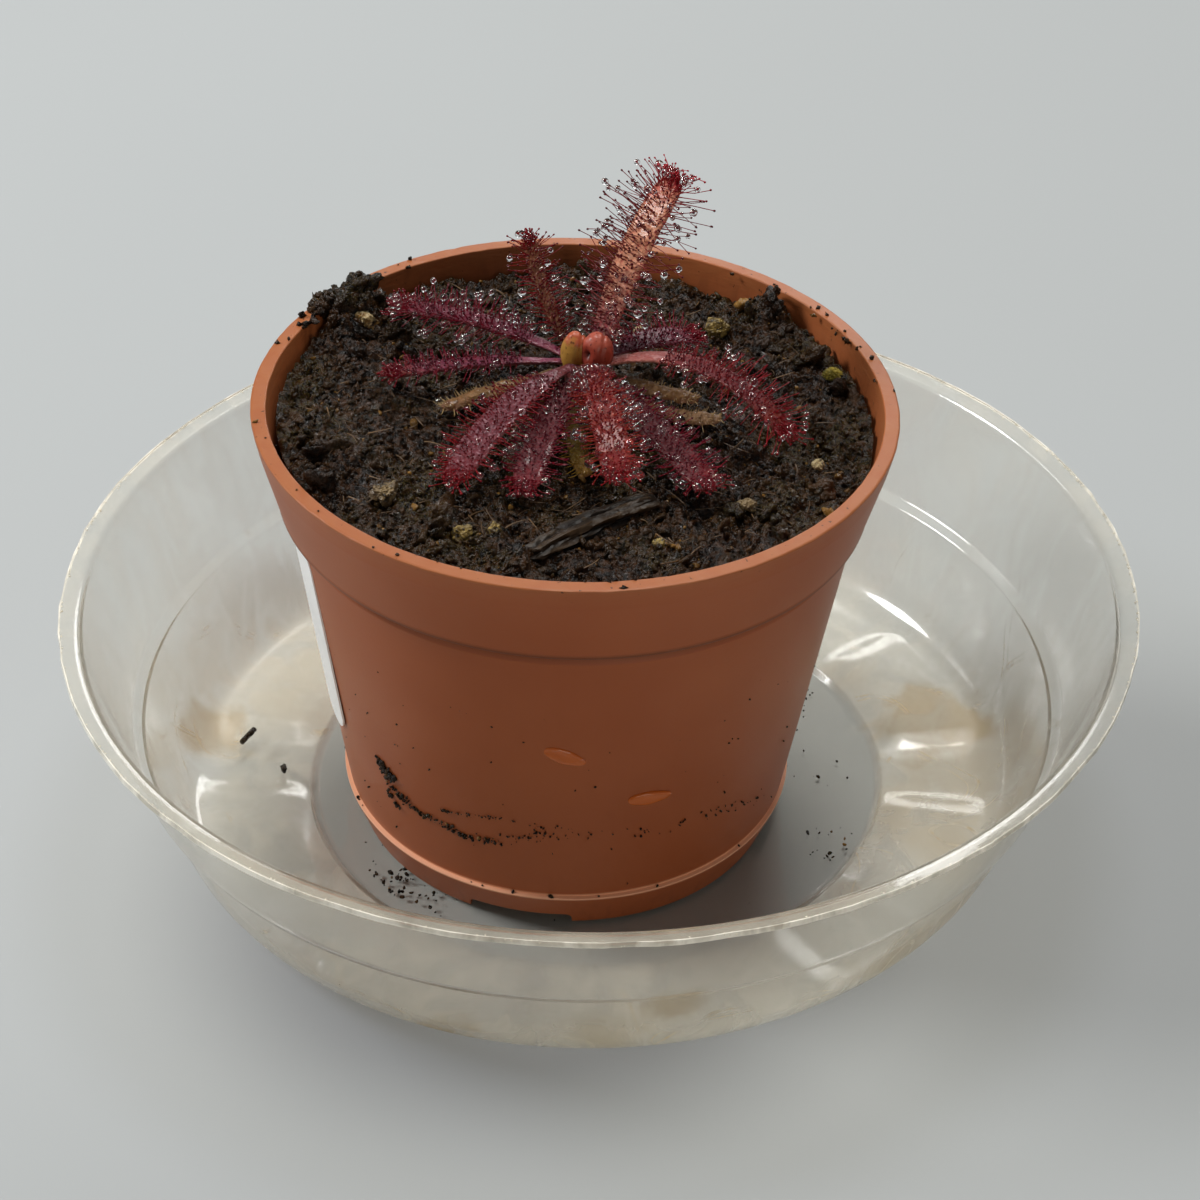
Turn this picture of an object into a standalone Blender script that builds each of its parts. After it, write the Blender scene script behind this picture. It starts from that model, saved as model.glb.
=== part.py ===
"""Potted sundew: a rosette of tentacled leaves in a 9 cm plastic pot on a clear saucer.

Sizes are in millimetres and are scaled to metres where a mesh is made. The origin is the
saucer's centre on the surface it stands on, +Z is up, and the front is towards -Y.
Heights of the pot and of what it holds are counted from the pot's own foot.
"""
import math
import random
from dataclasses import dataclass

import bmesh
import bpy
from mathutils import Euler, Matrix, Vector, noise
from mathutils.kdtree import KDTree

MM = 0.001
GAP = 0.3                      # clearance between pieces that rest on each other

# Saucer
SAUCER_RADIUS = 77.3
SAUCER_HEIGHT = 37.8
SAUCER_WALL = 0.8
SAUCER_LIP = 2.6
SAUCER_STEP_RADIUS = 67.2
SAUCER_STEP_HEIGHT = 19.0
SAUCER_BASE_RADIUS = 60.5
SAUCER_DISC_RADIUS = 42.3
SAUCER_CENTRE = 20.0           # radius of the one flat face in the disc's middle
SAUCER_SHELF_RISE = 1.2        # the ring round the disc stands this much higher
SAUCER_PADS = 8
SAUCER_PAD_RISE = 1.1
SAUCER_PAD_INSET = 2.0
SAUCER_PAD_SHARE = 0.6         # share of the ring that the pads cover
SAUCER_OVAL = 0.025            # share by which the thin dish is pulled out of round
SAUCER_OVAL_HEADING = 33.0
SAUCER_SIDES = 48

# Pot
POT_X = -4.8
POT_Y = -2.3
POT_HEIGHT = 69.5
RIM_RADIUS = 45.0
RIM_WIDTH = 2.3
COLLAR_DEPTH = 13.0
COLLAR_FOOT_RADIUS = 41.8
COLLAR_ROUNDING = 0.6
LEDGE_DROP = 1.0               # the wall starts this far below the collar's edge
WALL_TOP_RADIUS = 40.2
WALL_FOOT_RADIUS = 33.2
FOOT_STEP_HEIGHT = 6.4
FOOT_RADIUS = 31.2
POT_WALL = 1.2
BASE_UNDERSIDE = 2.9
BASE_PLATE = 1.2
NOTCHES = 4
NOTCH_WIDTH = 15.0
NOTCH_HEIGHT = 2.0
NOTCH_DEPTH = 6.0
NOTCH_ROUNDING = 1.0
NOTCH_HEADING = -100.5
DRAIN_HOLES = 4
DRAIN_RADIUS = 3.5
DRAIN_RING = 20.0
POT_SIDES = 48

# Label, a bare sticker on the left of the wall
LABEL_HEADING = 185.5
LABEL_WIDTH = 29.0
LABEL_TOP = 54.5
LABEL_BOTTOM = 21.5
LABEL_THICKNESS = 0.3
LABEL_CORNER = 0.93            # the corner points are drawn in to this share

# Soil
SOIL_LEVEL = 66.2
SOIL_FALL_RIGHT = 1.0
SOIL_FALL_BACK = 0.6
SOIL_UNDER_LEAVES = 66.9       # the soil stays lower than this under the rosette
SOIL_UNDER_LEAVES_REACH = 27.0
SOIL_CELLS = 24
SOIL_DIP = 2.5                 # how far its lowest spots by the wall lie under its level
SOIL_SEED = Vector((3.1, 7.7, 0.4))
SOIL_LUMP = (7.5, 1.3)         # size across and height of the large lumps
SOIL_CRUMB = (3.4, 1.0)        # the same for the small ones
SOIL_FLOOR_ROUNDING = 1.6      # rise of the plug's chamfer over the base plate
SOIL_HEAPS = (                 # place, rise and spread of each heap
    (-32.6, 22.6, 5.6, 4.6),
    (27.4, 28.4, 4.6, 4.4),
    (1.0, 36.5, 2.6, 5.0),
)

# Rosette
CROWN_X = 0.8
CROWN_Y = 5.5
CROWN_RADIUS = 3.0
CROWN_TOP = 73.2
STEM_RADIUS = 1.7
STEM_DEPTH = 6.0
BLADE = 0.8
BLADE_CELLS_LONG = 11
BLADE_CELLS_WIDE = 4
BLADE_WIDE_FROM = 0.55         # share of the length where the petiole has widened to the blade
BLADE_TIP_FROM = 0.82          # share where the round tip starts
RIB_STEPS = 44
NEEDLE_ROOT_RADIUS = 0.24
NEEDLE_SPACING = 1.75
NEEDLE_SPACING_DEAD = 2.8
NEEDLES_FROM = 0.30            # share of the length where the tentacles start
NEEDLES_TO = 0.97
MARGIN_ROW = 0.86              # place of the long tentacles, as a share of the half width
INNER_ROW = 0.38               # the same for the short ones on the blade's face
INNER_REACH = (0.40, 0.55)     # their length, as a share of the long ones'
TIP_REACH = 0.62
NEEDLE_RISE = 0.55             # how far a tentacle leans up, against one out to the side
UPRIGHT_TRIES = (0.0, 0.6, 1.4)
NEEDLE_SAMPLES = 8
NEEDLE_CLEARANCE = 0.85
BLADE_CLEARANCE = 1.25
SOIL_CLEARANCE = 0.9
BUDS_REACH = 4.6               # tentacles stay this far from the middle of the buds
SEED = 41


@dataclass(frozen=True)
class Leaf:
    """One leaf: its mid-rib starts at the crown and bends and turns evenly to its tip."""

    name: str
    heading: float             # degrees from +X towards +Y, at the base
    sweep: float               # degrees that the heading turns by the tip
    climb: float               # slope at the base, degrees
    end_climb: float           # slope at the tip, degrees
    length: float
    width: float
    base_height: float
    needle: float = 4.6        # longest needle, at the margin
    trough: float = 0.35       # how far the margins stand above the mid-rib
    petiole: float = 0.45      # width of the petiole, as a share of the blade's
    dead: bool = False


LEAVES = (
    Leaf("leaf_upright", 49, -2, 70, 40, 26.8, 4.8, 72.6, needle=4.8),
    Leaf("leaf_folded", 128, -20, 34, 46, 17.6, 2.4, 72.0, needle=3.6, trough=0.5),
    Leaf("leaf_left_back", 153, 1, 10, -13, 27.0, 3.4, 72.2),
    Leaf("leaf_left", 183, -1, 2, -15, 24.2, 2.5, 71.9, needle=3.4),
    Leaf("leaf_withered_left", 195, 14, -8, -9, 17.6, 2.5, 70.9, needle=1.6, trough=-0.4, dead=True),
    Leaf("leaf_front_left", 236, 3, 13, -30, 28.8, 4.9, 72.5, needle=4.2, petiole=0.38),
    Leaf("leaf_front_centre_left", 253, 5, 9, -24, 25.4, 4.4, 71.0, needle=3.8, petiole=0.4),
    Leaf("leaf_withered_front", 262, 27, -8, -5, 18.6, 2.8, 69.7, needle=1.6, trough=-0.4, dead=True),
    Leaf("leaf_front_centre", 281, 1, 22, -34, 24.8, 5.2, 72.5, needle=4.0, petiole=0.38),
    Leaf("leaf_front_right", 305, 0, 1, -13, 27.8, 4.9, 71.1, needle=4.4),
    Leaf("leaf_withered_right_low", 331, 24, -17, 6, 17.6, 2.9, 69.5, needle=1.4, trough=-0.4, dead=True),
    Leaf("leaf_withered_right", 343, 8, -10, -6, 13.6, 2.6, 71.0, needle=1.4, trough=-0.4, dead=True),
    Leaf("leaf_right_arched", 349, -33, 25, -38, 30.0, 3.5, 72.2, needle=4.4, petiole=0.6),
    Leaf("leaf_right_back", 33, -4, 9, -18, 15.0, 4.8, 71.9, needle=3.4),
)


@dataclass(frozen=True)
class Grit:
    """A grain of grit half sunk in the soil, by its place and size."""

    name: str
    x: float
    y: float
    width: float
    depth: float
    height: float
    turn: float


MOSS_TUFT = Grit("moss_tuft", 36.4, 13.4, 3.6, 3.0, 2.6, 0)
GRITS = (
    Grit("grit_left_back", -30.7, 18.9, 4.4, 3.6, 4.0, 20),
    Grit("grit_back", 20.1, 25.4, 4.6, 3.8, 4.4, -35),
    Grit("grit_back_small", 8.7, 24.3, 2.6, 2.2, 2.2, 60),
    Grit("grit_left_front", -24.6, -21.5, 5.2, 3.4, 3.2, 40),
    Grit("grit_front_left", -14.0, -30.6, 3.2, 2.8, 3.0, -10),
    Grit("grit_front_left_small", -9.6, -28.8, 2.4, 2.2, 2.2, 70),
    Grit("grit_front_right", 23.4, -19.8, 3.4, 2.6, 2.6, 15),
    Grit("grit_right_small", 33.4, -9.9, 2.2, 1.8, 2.0, -50),
    Grit("grit_front_small", 11.8, -30.2, 2.2, 1.8, 1.8, 30),
    MOSS_TUFT,
)

GRIT_TILT = (0.3, -0.2)        # turns about X and Y, in radians
GRIT_BULGE = (1.7, 0.22)       # how fine and how deep its facets are
GRIT_LIFT = 0.15               # share of its height that its middle stands over the soil

# Bark strip, lying on the soil from the front towards the right
BARK_START = Vector((-5.2, -34.2))
BARK_END = Vector((10.8, -20.6))
BARK_RADIUS = 1.45
BARK_FLATNESS = (1.25, 0.8)    # its width and height, as shares of the radius
BARK_BOW = 0.9
BARK_LIFT = 0.55
BARK_GROOVE = 0.35
BARK_RINGS = 8
BARK_SIDES = 8


@dataclass(frozen=True)
class Bud:
    """A coiled young leaf on the crown, by its middle beside the crown's axis."""

    name: str
    middle: Vector
    width: float
    height: float
    lean: float
    pit: float                 # depth of the dimple in its front, as a share of its radius


BUDS = (
    Bud("bud_golden", Vector((-1.75, -0.1, 74.1)), 3.0, 6.0, -0.04, 0.0),
    Bud("bud_red", Vector((1.75, 0.1, 74.2)), 3.7, 5.0, 0.04, 0.3),
)
PIT_WAY = Vector((-0.45, -0.75, 0.5)).normalized()
PIT_SPREAD = 0.42


def clear_scene():
    """Removes every object of the start-up scene."""
    for thing in list(bpy.data.objects):
        bpy.data.objects.remove(thing, do_unlink=True)


def new_collection(name):
    """A collection of the scene."""
    collection = bpy.data.collections.new(name)
    bpy.context.scene.collection.children.link(collection)
    return collection


def material(name, colour, roughness, alpha=1.0):
    """A plain principled material."""
    made = bpy.data.materials.new(name)
    made.use_nodes = True
    shader = made.node_tree.nodes["Principled BSDF"]
    shader.inputs["Base Color"].default_value = (*colour, 1.0)
    shader.inputs["Roughness"].default_value = roughness
    shader.inputs["Metallic"].default_value = 0.0
    shader.inputs["Alpha"].default_value = alpha
    return made


def place(name, mesh, collection, parent=None, finish=None):
    """An object for a mesh, under a parent."""
    thing = bpy.data.objects.new(name, mesh)
    collection.objects.link(thing)
    thing.parent = parent
    if finish is not None:
        mesh.materials.append(finish)
    return thing


def face_towards(bm, way):
    """Turns an open sheet's faces so that they look, on the whole, along a direction."""
    bmesh.ops.recalc_face_normals(bm, faces=bm.faces)
    if sum(face.normal.dot(way) for face in bm.faces) < 0.0:
        bmesh.ops.reverse_faces(bm, faces=bm.faces)


def mesh_from(bm, name):
    """The mesh of a bmesh drawn in millimetres; a closed one gets its faces turned outwards."""
    bmesh.ops.scale(bm, vec=(MM, MM, MM), verts=bm.verts)
    if not any(edge.is_boundary for edge in bm.edges):
        bmesh.ops.recalc_face_normals(bm, faces=bm.faces)
    mesh = bpy.data.meshes.new(name)
    bm.to_mesh(mesh)
    bm.free()
    return mesh


def as_cutter(thing):
    """Marks an object as a cutter."""
    thing.hide_render = True
    thing.display_type = "WIRE"
    return thing


def polar(radius, heading, height=0.0):
    """A point by its radius and heading in degrees."""
    angle = math.radians(heading)
    return Vector((radius * math.cos(angle), radius * math.sin(angle), height))


def turned(name, profile, sides, collection, parent, finish):
    """A profile of (radius, height) points turned about Z by a Screw modifier."""
    bm = bmesh.new()
    corners = [bm.verts.new((radius, 0.0, height)) for radius, height in profile]
    for first, second in zip(corners, corners[1:]):
        bm.edges.new((first, second))
    thing = place(name, mesh_from(bm, name), collection, parent, finish)
    screw = thing.modifiers.new("turn", "SCREW")
    screw.steps = sides
    screw.render_steps = sides
    screw.use_merge_vertices = True
    screw.merge_threshold = 0.00001
    return thing


def subtract(thing, cutters):
    """Cuts a collection of cutters out of an object."""
    cut = thing.modifiers.new("cut", "BOOLEAN")
    cut.operation = "DIFFERENCE"
    cut.operand_type = "COLLECTION"
    cut.collection = cutters
    cut.solver = "EXACT"


def bake(thing):
    """Replaces an object's mesh by its evaluated one and drops its modifiers."""
    bpy.context.view_layer.update()
    evaluated = thing.evaluated_get(bpy.context.evaluated_depsgraph_get())
    mesh = bpy.data.meshes.new_from_object(evaluated)
    thing.modifiers.clear()
    thing.data = mesh


# Saucer

def saucer_profile():
    """Radius and height of the dish's upper surface, from the centre to the lip."""
    floor = SAUCER_WALL
    step = SAUCER_STEP_HEIGHT
    return (
        (SAUCER_CENTRE, floor),
        (SAUCER_DISC_RADIUS - 1.0, floor),
        (SAUCER_DISC_RADIUS + 0.8, floor + SAUCER_SHELF_RISE - 0.2),
        (SAUCER_DISC_RADIUS + 4.0, floor + SAUCER_SHELF_RISE),
        (SAUCER_BASE_RADIUS - 4.2, floor + SAUCER_SHELF_RISE),
        (SAUCER_BASE_RADIUS - 0.8, floor + SAUCER_SHELF_RISE + 0.4),
        (SAUCER_BASE_RADIUS + 2.0, floor + 4.6),
        (SAUCER_STEP_RADIUS - 0.4, step),
        (SAUCER_STEP_RADIUS + 0.7, step + 0.7),
        (SAUCER_RADIUS - SAUCER_LIP - 0.6, SAUCER_HEIGHT - 0.9),
        (SAUCER_RADIUS - SAUCER_LIP + 0.2, SAUCER_HEIGHT),
        (SAUCER_RADIUS, SAUCER_HEIGHT + 0.2),
    )


def pad_rise(point):
    """Height of the rounded pads that stand in a ring round the saucer's disc."""
    radius = point.to_2d().length
    inner = SAUCER_DISC_RADIUS + SAUCER_PAD_INSET
    outer = SAUCER_BASE_RADIUS - SAUCER_PAD_INSET
    if not inner < radius < outer:
        return 0.0
    turn = math.atan2(point.y, point.x) / math.tau * SAUCER_PADS
    along = abs(turn - math.floor(turn) - 0.5) * 2.0
    return SAUCER_PAD_RISE if along < SAUCER_PAD_SHARE else 0.0


def build_saucer(collection, finish):
    """The thin dish: an open turned surface with pads, pulled slightly oval, then thickened."""
    thing = turned("saucer", saucer_profile(), SAUCER_SIDES, collection, None, finish)
    bake(thing)
    bm = bmesh.new()
    bm.from_mesh(thing.data)
    middle = SAUCER_DISC_RADIUS / 2.0 * MM
    ring = [edge for edge in bm.edges if edge.is_boundary and edge.verts[0].co.to_2d().length < middle]
    bmesh.ops.contextual_create(bm, geom=ring)
    oval = Matrix.Scale(1.0 + SAUCER_OVAL, 4, polar(1.0, SAUCER_OVAL_HEADING))
    oval = oval @ Matrix.Scale(1.0 - SAUCER_OVAL, 4, polar(1.0, SAUCER_OVAL_HEADING + 90.0))
    for vertex in bm.verts:
        vertex.co.z += pad_rise(vertex.co / MM) * MM
        vertex.co = oval @ vertex.co
    face_towards(bm, Vector((0.0, 0.0, 1.0)))
    bm.to_mesh(thing.data)
    bm.free()
    wall = thing.modifiers.new("wall", "SOLIDIFY")
    wall.thickness = SAUCER_WALL * MM
    wall.offset = -1.0
    return thing


# Pot

def wall_radius(height):
    """Outer radius of the tapered wall below the collar."""
    top = POT_HEIGHT - COLLAR_DEPTH - LEDGE_DROP
    share = (height - FOOT_STEP_HEIGHT) / (top - FOOT_STEP_HEIGHT)
    return WALL_FOOT_RADIUS + (WALL_TOP_RADIUS - WALL_FOOT_RADIUS) * share


def inner_radius(height):
    """Inner radius of the pot, up to its rim."""
    ledge = POT_HEIGHT - COLLAR_DEPTH
    wall_top = ledge - LEDGE_DROP
    collar_foot = ledge + COLLAR_ROUNDING
    rim = RIM_RADIUS - RIM_WIDTH
    low = WALL_TOP_RADIUS - POT_WALL
    wide = COLLAR_FOOT_RADIUS - POT_WALL
    if height <= wall_top:
        return wall_radius(height) - POT_WALL
    if height <= collar_foot:
        return low + (wide - low) * (height - wall_top) / (collar_foot - wall_top)
    return wide + (rim - wide) * (height - collar_foot) / (POT_HEIGHT - collar_foot)


def build_pot(collection, cutters_home, parent, finish):
    """The pot with its collar, ledge, foot ring, notches and drain holes."""
    ledge = POT_HEIGHT - COLLAR_DEPTH
    plate_top = BASE_UNDERSIDE + BASE_PLATE
    profile = (
        (0.0, plate_top),
        (inner_radius(plate_top) - 0.6, plate_top),
        (inner_radius(plate_top + 1.2), plate_top + 1.2),
        (inner_radius(ledge - LEDGE_DROP), ledge - LEDGE_DROP),
        (inner_radius(ledge + COLLAR_ROUNDING), ledge + COLLAR_ROUNDING),
        (inner_radius(POT_HEIGHT), POT_HEIGHT),
        (RIM_RADIUS - 0.2, POT_HEIGHT),
        (RIM_RADIUS, POT_HEIGHT - 0.4),
        (RIM_RADIUS - 0.7, POT_HEIGHT - 3.0),
        (COLLAR_FOOT_RADIUS, ledge + COLLAR_ROUNDING),
        (COLLAR_FOOT_RADIUS - COLLAR_ROUNDING, ledge - LEDGE_DROP / 2.0),
        (WALL_TOP_RADIUS, ledge - LEDGE_DROP),
        (WALL_FOOT_RADIUS, FOOT_STEP_HEIGHT),
        (WALL_FOOT_RADIUS - 0.7, FOOT_STEP_HEIGHT - 0.3),
        (FOOT_RADIUS + 0.4, 1.2),
        (FOOT_RADIUS, 0.0),
        (FOOT_RADIUS - 1.4, 0.0),
        (FOOT_RADIUS - 1.0, BASE_UNDERSIDE),
        (0.0, BASE_UNDERSIDE),
    )
    pot = turned("pot", profile, POT_SIDES, collection, parent, finish)
    cutters = bpy.data.collections.new("pot_cutters")
    cutters_home.children.link(cutters)
    for index in range(NOTCHES):
        heading = NOTCH_HEADING + index * 360.0 / NOTCHES
        add_notch_cutter(index, heading, cutters, parent)
    for index in range(DRAIN_HOLES):
        heading = NOTCH_HEADING + (index + 0.5) * 360.0 / DRAIN_HOLES
        add_drain_cutter(index, heading, cutters, parent)
    subtract(pot, cutters)
    return pot


def add_notch_cutter(index, heading, cutters, parent):
    """A box with rounded upper corners, across the foot ring."""
    bm = bmesh.new()
    bmesh.ops.create_cube(bm, size=1.0)
    size = Vector((NOTCH_DEPTH, NOTCH_WIDTH, NOTCH_HEIGHT * 2.0))
    bmesh.ops.scale(bm, vec=size, verts=bm.verts)
    corners = [edge for edge in bm.edges if edge.verts[0].co.z > 0.0
               and abs(edge.verts[0].co.x - edge.verts[1].co.x) > NOTCH_DEPTH / 2.0]
    bmesh.ops.bevel(bm, geom=corners, offset=NOTCH_ROUNDING, segments=2, affect="EDGES")
    cutter = as_cutter(place(f"notch_cutter_{index}", mesh_from(bm, "notch_cutter"), cutters, parent))
    cutter.location = polar(FOOT_RADIUS, heading) * MM
    cutter.rotation_euler = (0.0, 0.0, math.radians(heading))


def add_drain_cutter(index, heading, cutters, parent):
    """A round rod through the base plate."""
    bm = bmesh.new()
    bmesh.ops.create_cone(bm, cap_ends=True, segments=14, radius1=DRAIN_RADIUS, radius2=DRAIN_RADIUS, depth=8.0)
    cutter = as_cutter(place(f"drain_cutter_{index}", mesh_from(bm, "drain_cutter"), cutters, parent))
    cutter.location = polar(DRAIN_RING, heading, BASE_UNDERSIDE) * MM


def build_label(collection, parent, finish):
    """The bare sticker, a curved patch on the wall with clipped corners."""
    bm = bmesh.new()
    bmesh.ops.create_grid(bm, x_segments=8, y_segments=6, size=1.0)
    middle = (LABEL_TOP + LABEL_BOTTOM) / 2.0
    half_height = (LABEL_TOP - LABEL_BOTTOM) / 2.0
    half_turn = math.degrees(LABEL_WIDTH / 2.0 / wall_radius(middle))
    for vertex in bm.verts:
        across, up = vertex.co.x, vertex.co.y
        if abs(across) > 0.99 and abs(up) > 0.99:
            across *= LABEL_CORNER
            up *= LABEL_CORNER
        height = middle + up * half_height
        vertex.co = polar(wall_radius(height) + GAP, LABEL_HEADING + across * half_turn, height)
    face_towards(bm, polar(1.0, LABEL_HEADING))
    label = place("label", mesh_from(bm, "label"), collection, parent, finish)
    sheet = label.modifiers.new("sheet", "SOLIDIFY")
    sheet.thickness = LABEL_THICKNESS * MM
    sheet.offset = 1.0
    return label


# Soil and what lies in it

def soil_height(x, y):
    """Height of the soil's lumpy surface above the pot's foot."""
    place_on = Vector((x, y, 0.0))
    lumps = SOIL_LUMP[1] * noise.noise(place_on / SOIL_LUMP[0] + SOIL_SEED)
    crumbs = SOIL_CRUMB[1] * noise.noise(place_on / SOIL_CRUMB[0] + SOIL_SEED * 2.0)
    slope = -(SOIL_FALL_RIGHT * x + SOIL_FALL_BACK * y) / RIM_RADIUS
    height = SOIL_LEVEL + slope + lumps + crumbs
    if math.hypot(x - CROWN_X, y - CROWN_Y) < SOIL_UNDER_LEAVES_REACH:
        height = min(height, SOIL_UNDER_LEAVES)
    for heap_x, heap_y, rise, spread in SOIL_HEAPS:
        height += rise * math.exp(-((x - heap_x) ** 2 + (y - heap_y) ** 2) / spread ** 2)
    return height


def disc_point(across, up, radius):
    """Maps a square from -1 to 1 onto a disc, ring by ring."""
    reach = max(abs(across), abs(up))
    length = math.hypot(across, up)
    if length < 1e-9:
        return 0.0, 0.0
    return across * reach / length * radius, up * reach / length * radius


def build_soil(collection, cutters_home, parent, finish):
    """The plug of soil: a lumpy disc drawn down to the base plate, with holes for what stands in it."""
    bm = bmesh.new()
    bmesh.ops.create_grid(bm, x_segments=SOIL_CELLS, y_segments=SOIL_CELLS, size=1.0)
    top_radius = inner_radius(SOIL_LEVEL - SOIL_DIP) - GAP
    for vertex in bm.verts:
        x, y = disc_point(vertex.co.x, vertex.co.y, top_radius)
        vertex.co = (x, y, soil_height(x, y))
    collar_foot = POT_HEIGHT - COLLAR_DEPTH + COLLAR_ROUNDING
    wall_top = POT_HEIGHT - COLLAR_DEPTH - LEDGE_DROP
    floor = BASE_UNDERSIDE + BASE_PLATE
    for height in (collar_foot + GAP, wall_top - GAP, floor + SOIL_FLOOR_ROUNDING, floor + GAP):
        rim = [edge for edge in bm.edges if edge.is_boundary]
        drawn = bmesh.ops.extrude_edge_only(bm, edges=rim)["geom"]
        for vertex in (item for item in drawn if isinstance(item, bmesh.types.BMVert)):
            heading = math.degrees(math.atan2(vertex.co.y, vertex.co.x))
            vertex.co = polar(inner_radius(height) - 2.0 * GAP, heading, height)
    bmesh.ops.contextual_create(bm, geom=[edge for edge in bm.edges if edge.is_boundary])
    soil = place("soil", mesh_from(bm, "soil"), collection, parent, finish)
    cutters = bpy.data.collections.new("soil_cutters")
    cutters_home.children.link(cutters)
    add_stem_hole(cutters, parent)
    for grit in GRITS:
        hollow = grit_mesh(grit, GAP)
        as_cutter(place(f"{grit.name}_hollow", hollow, cutters, parent))
    as_cutter(place("bark_hollow", bark_mesh(GAP), cutters, parent))
    subtract(soil, cutters)
    return soil


def add_stem_hole(cutters, parent):
    """The plain hole that the stem stands in."""
    bm = bmesh.new()
    radius = STEM_RADIUS + GAP
    depth = STEM_DEPTH * 2.0
    bmesh.ops.create_cone(bm, cap_ends=True, segments=16, radius1=radius, radius2=radius, depth=depth)
    bottom = SOIL_LEVEL - STEM_DEPTH - GAP
    bmesh.ops.translate(bm, vec=(CROWN_X, CROWN_Y, bottom + depth / 2.0), verts=bm.verts)
    as_cutter(place("stem_hole", mesh_from(bm, "stem_hole"), cutters, parent))


def grit_mesh(grit, grow):
    """An uneven grain of grit, half above the soil, grown by a clearance for its hollow."""
    bm = bmesh.new()
    bmesh.ops.create_icosphere(bm, subdivisions=2, radius=1.0)
    size = Vector((grit.width, grit.depth, grit.height)) / 2.0
    turn = Euler((*GRIT_TILT, math.radians(grit.turn))).to_matrix()
    centre = Vector((grit.x, grit.y, soil_height(grit.x, grit.y) + GRIT_LIFT * grit.height))
    fineness, depth = GRIT_BULGE
    for vertex in bm.verts:
        way = vertex.co.normalized()
        bulge = 1.0 + depth * noise.noise(way * fineness + Vector((grit.x, grit.y, 0.0)))
        facet = Vector((way.x * size.x, way.y * size.y, way.z * size.z)) * bulge
        vertex.co = centre + turn @ (facet + facet.normalized() * grow)
    return mesh_from(bm, grit.name)


def bark_mesh(grow):
    """A weathered strip of bark, thicker in the middle, grooved along its top."""
    bm = bmesh.new()
    bmesh.ops.create_cone(bm, cap_ends=True, segments=BARK_SIDES, radius1=1.0, radius2=1.0, depth=2.0)
    across = [face for face in bm.faces if abs(face.normal.z) < 0.5]
    uprights = list({edge for face in across for edge in face.edges
                     if abs(edge.verts[0].co.z - edge.verts[1].co.z) > 1.0})
    bmesh.ops.subdivide_edges(bm, edges=uprights, cuts=BARK_RINGS, use_grid_fill=True)
    route = BARK_END - BARK_START
    side = Vector((-route.y, route.x)).normalized()
    wide, high = BARK_FLATNESS
    for vertex in bm.verts:
        share = (vertex.co.z + 1.0) / 2.0
        spread, lift = vertex.co.x, vertex.co.y
        girth = BARK_RADIUS * (0.62 + 0.5 * math.sin(math.pi * (0.15 + 0.7 * share)))
        girth *= 1.0 + 0.16 * noise.noise(Vector((spread, lift, share * 5.0)))
        groove = BARK_GROOVE if lift > 0.6 else 0.0
        ends = (share - 0.5) * 2.0 * grow
        along = BARK_START + route * share + route.normalized() * ends
        bow = side * BARK_BOW * math.sin(math.pi * share)
        flat = along + bow + side * spread * (girth * wide + grow)
        middle = SOIL_LEVEL + (soil_height(*along) - SOIL_LEVEL) * 0.3 + BARK_LIFT
        height = middle + lift * (girth * high + grow) - groove * girth
        vertex.co = (flat.x, flat.y, height)
    return mesh_from(bm, "bark_strip")


# Rosette

def build_stem(collection, parent, finish):
    """The short stem with its swollen crown, which carries the leaves and the buds."""
    foot = SOIL_LEVEL - STEM_DEPTH
    profile = (
        (0.0, CROWN_TOP),
        (CROWN_RADIUS - 0.5, CROWN_TOP),
        (CROWN_RADIUS, CROWN_TOP - 0.6),
        (CROWN_RADIUS, CROWN_TOP - 3.9),
        (STEM_RADIUS, CROWN_TOP - 5.4),
        (STEM_RADIUS, foot),
        (0.0, foot),
    )
    stem = turned("stem_crown", profile, 16, collection, parent, finish)
    stem.location = Vector((CROWN_X, CROWN_Y, 0.0)) * MM
    return stem


def bud_mesh(bud):
    """An egg-shaped bud cut flat where it sits on the crown, with a pit where it is coiled."""
    bm = bmesh.new()
    bmesh.ops.create_uvsphere(bm, u_segments=12, v_segments=9, radius=1.0)
    centre = bud.middle + Vector((CROWN_X, CROWN_Y, 0.0))
    size = Vector((bud.width, bud.width, bud.height)) / 2.0
    for vertex in bm.verts:
        way = vertex.co.normalized()
        depth = bud.pit * math.exp(-((way - PIT_WAY).length / PIT_SPREAD) ** 2)
        shaped = way * size * (1.0 - depth)
        shaped.x += bud.lean * shaped.z
        vertex.co = centre + shaped
    seat = Vector((0.0, 0.0, CROWN_TOP + GAP))
    whole = list(bm.verts) + list(bm.edges) + list(bm.faces)
    cut = bmesh.ops.bisect_plane(bm, geom=whole, plane_co=seat, plane_no=(0.0, 0.0, -1.0), clear_outer=True)
    rim = [item for item in cut["geom_cut"] if isinstance(item, bmesh.types.BMEdge)]
    bmesh.ops.contextual_create(bm, geom=rim)
    return mesh_from(bm, bud.name)


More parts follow.
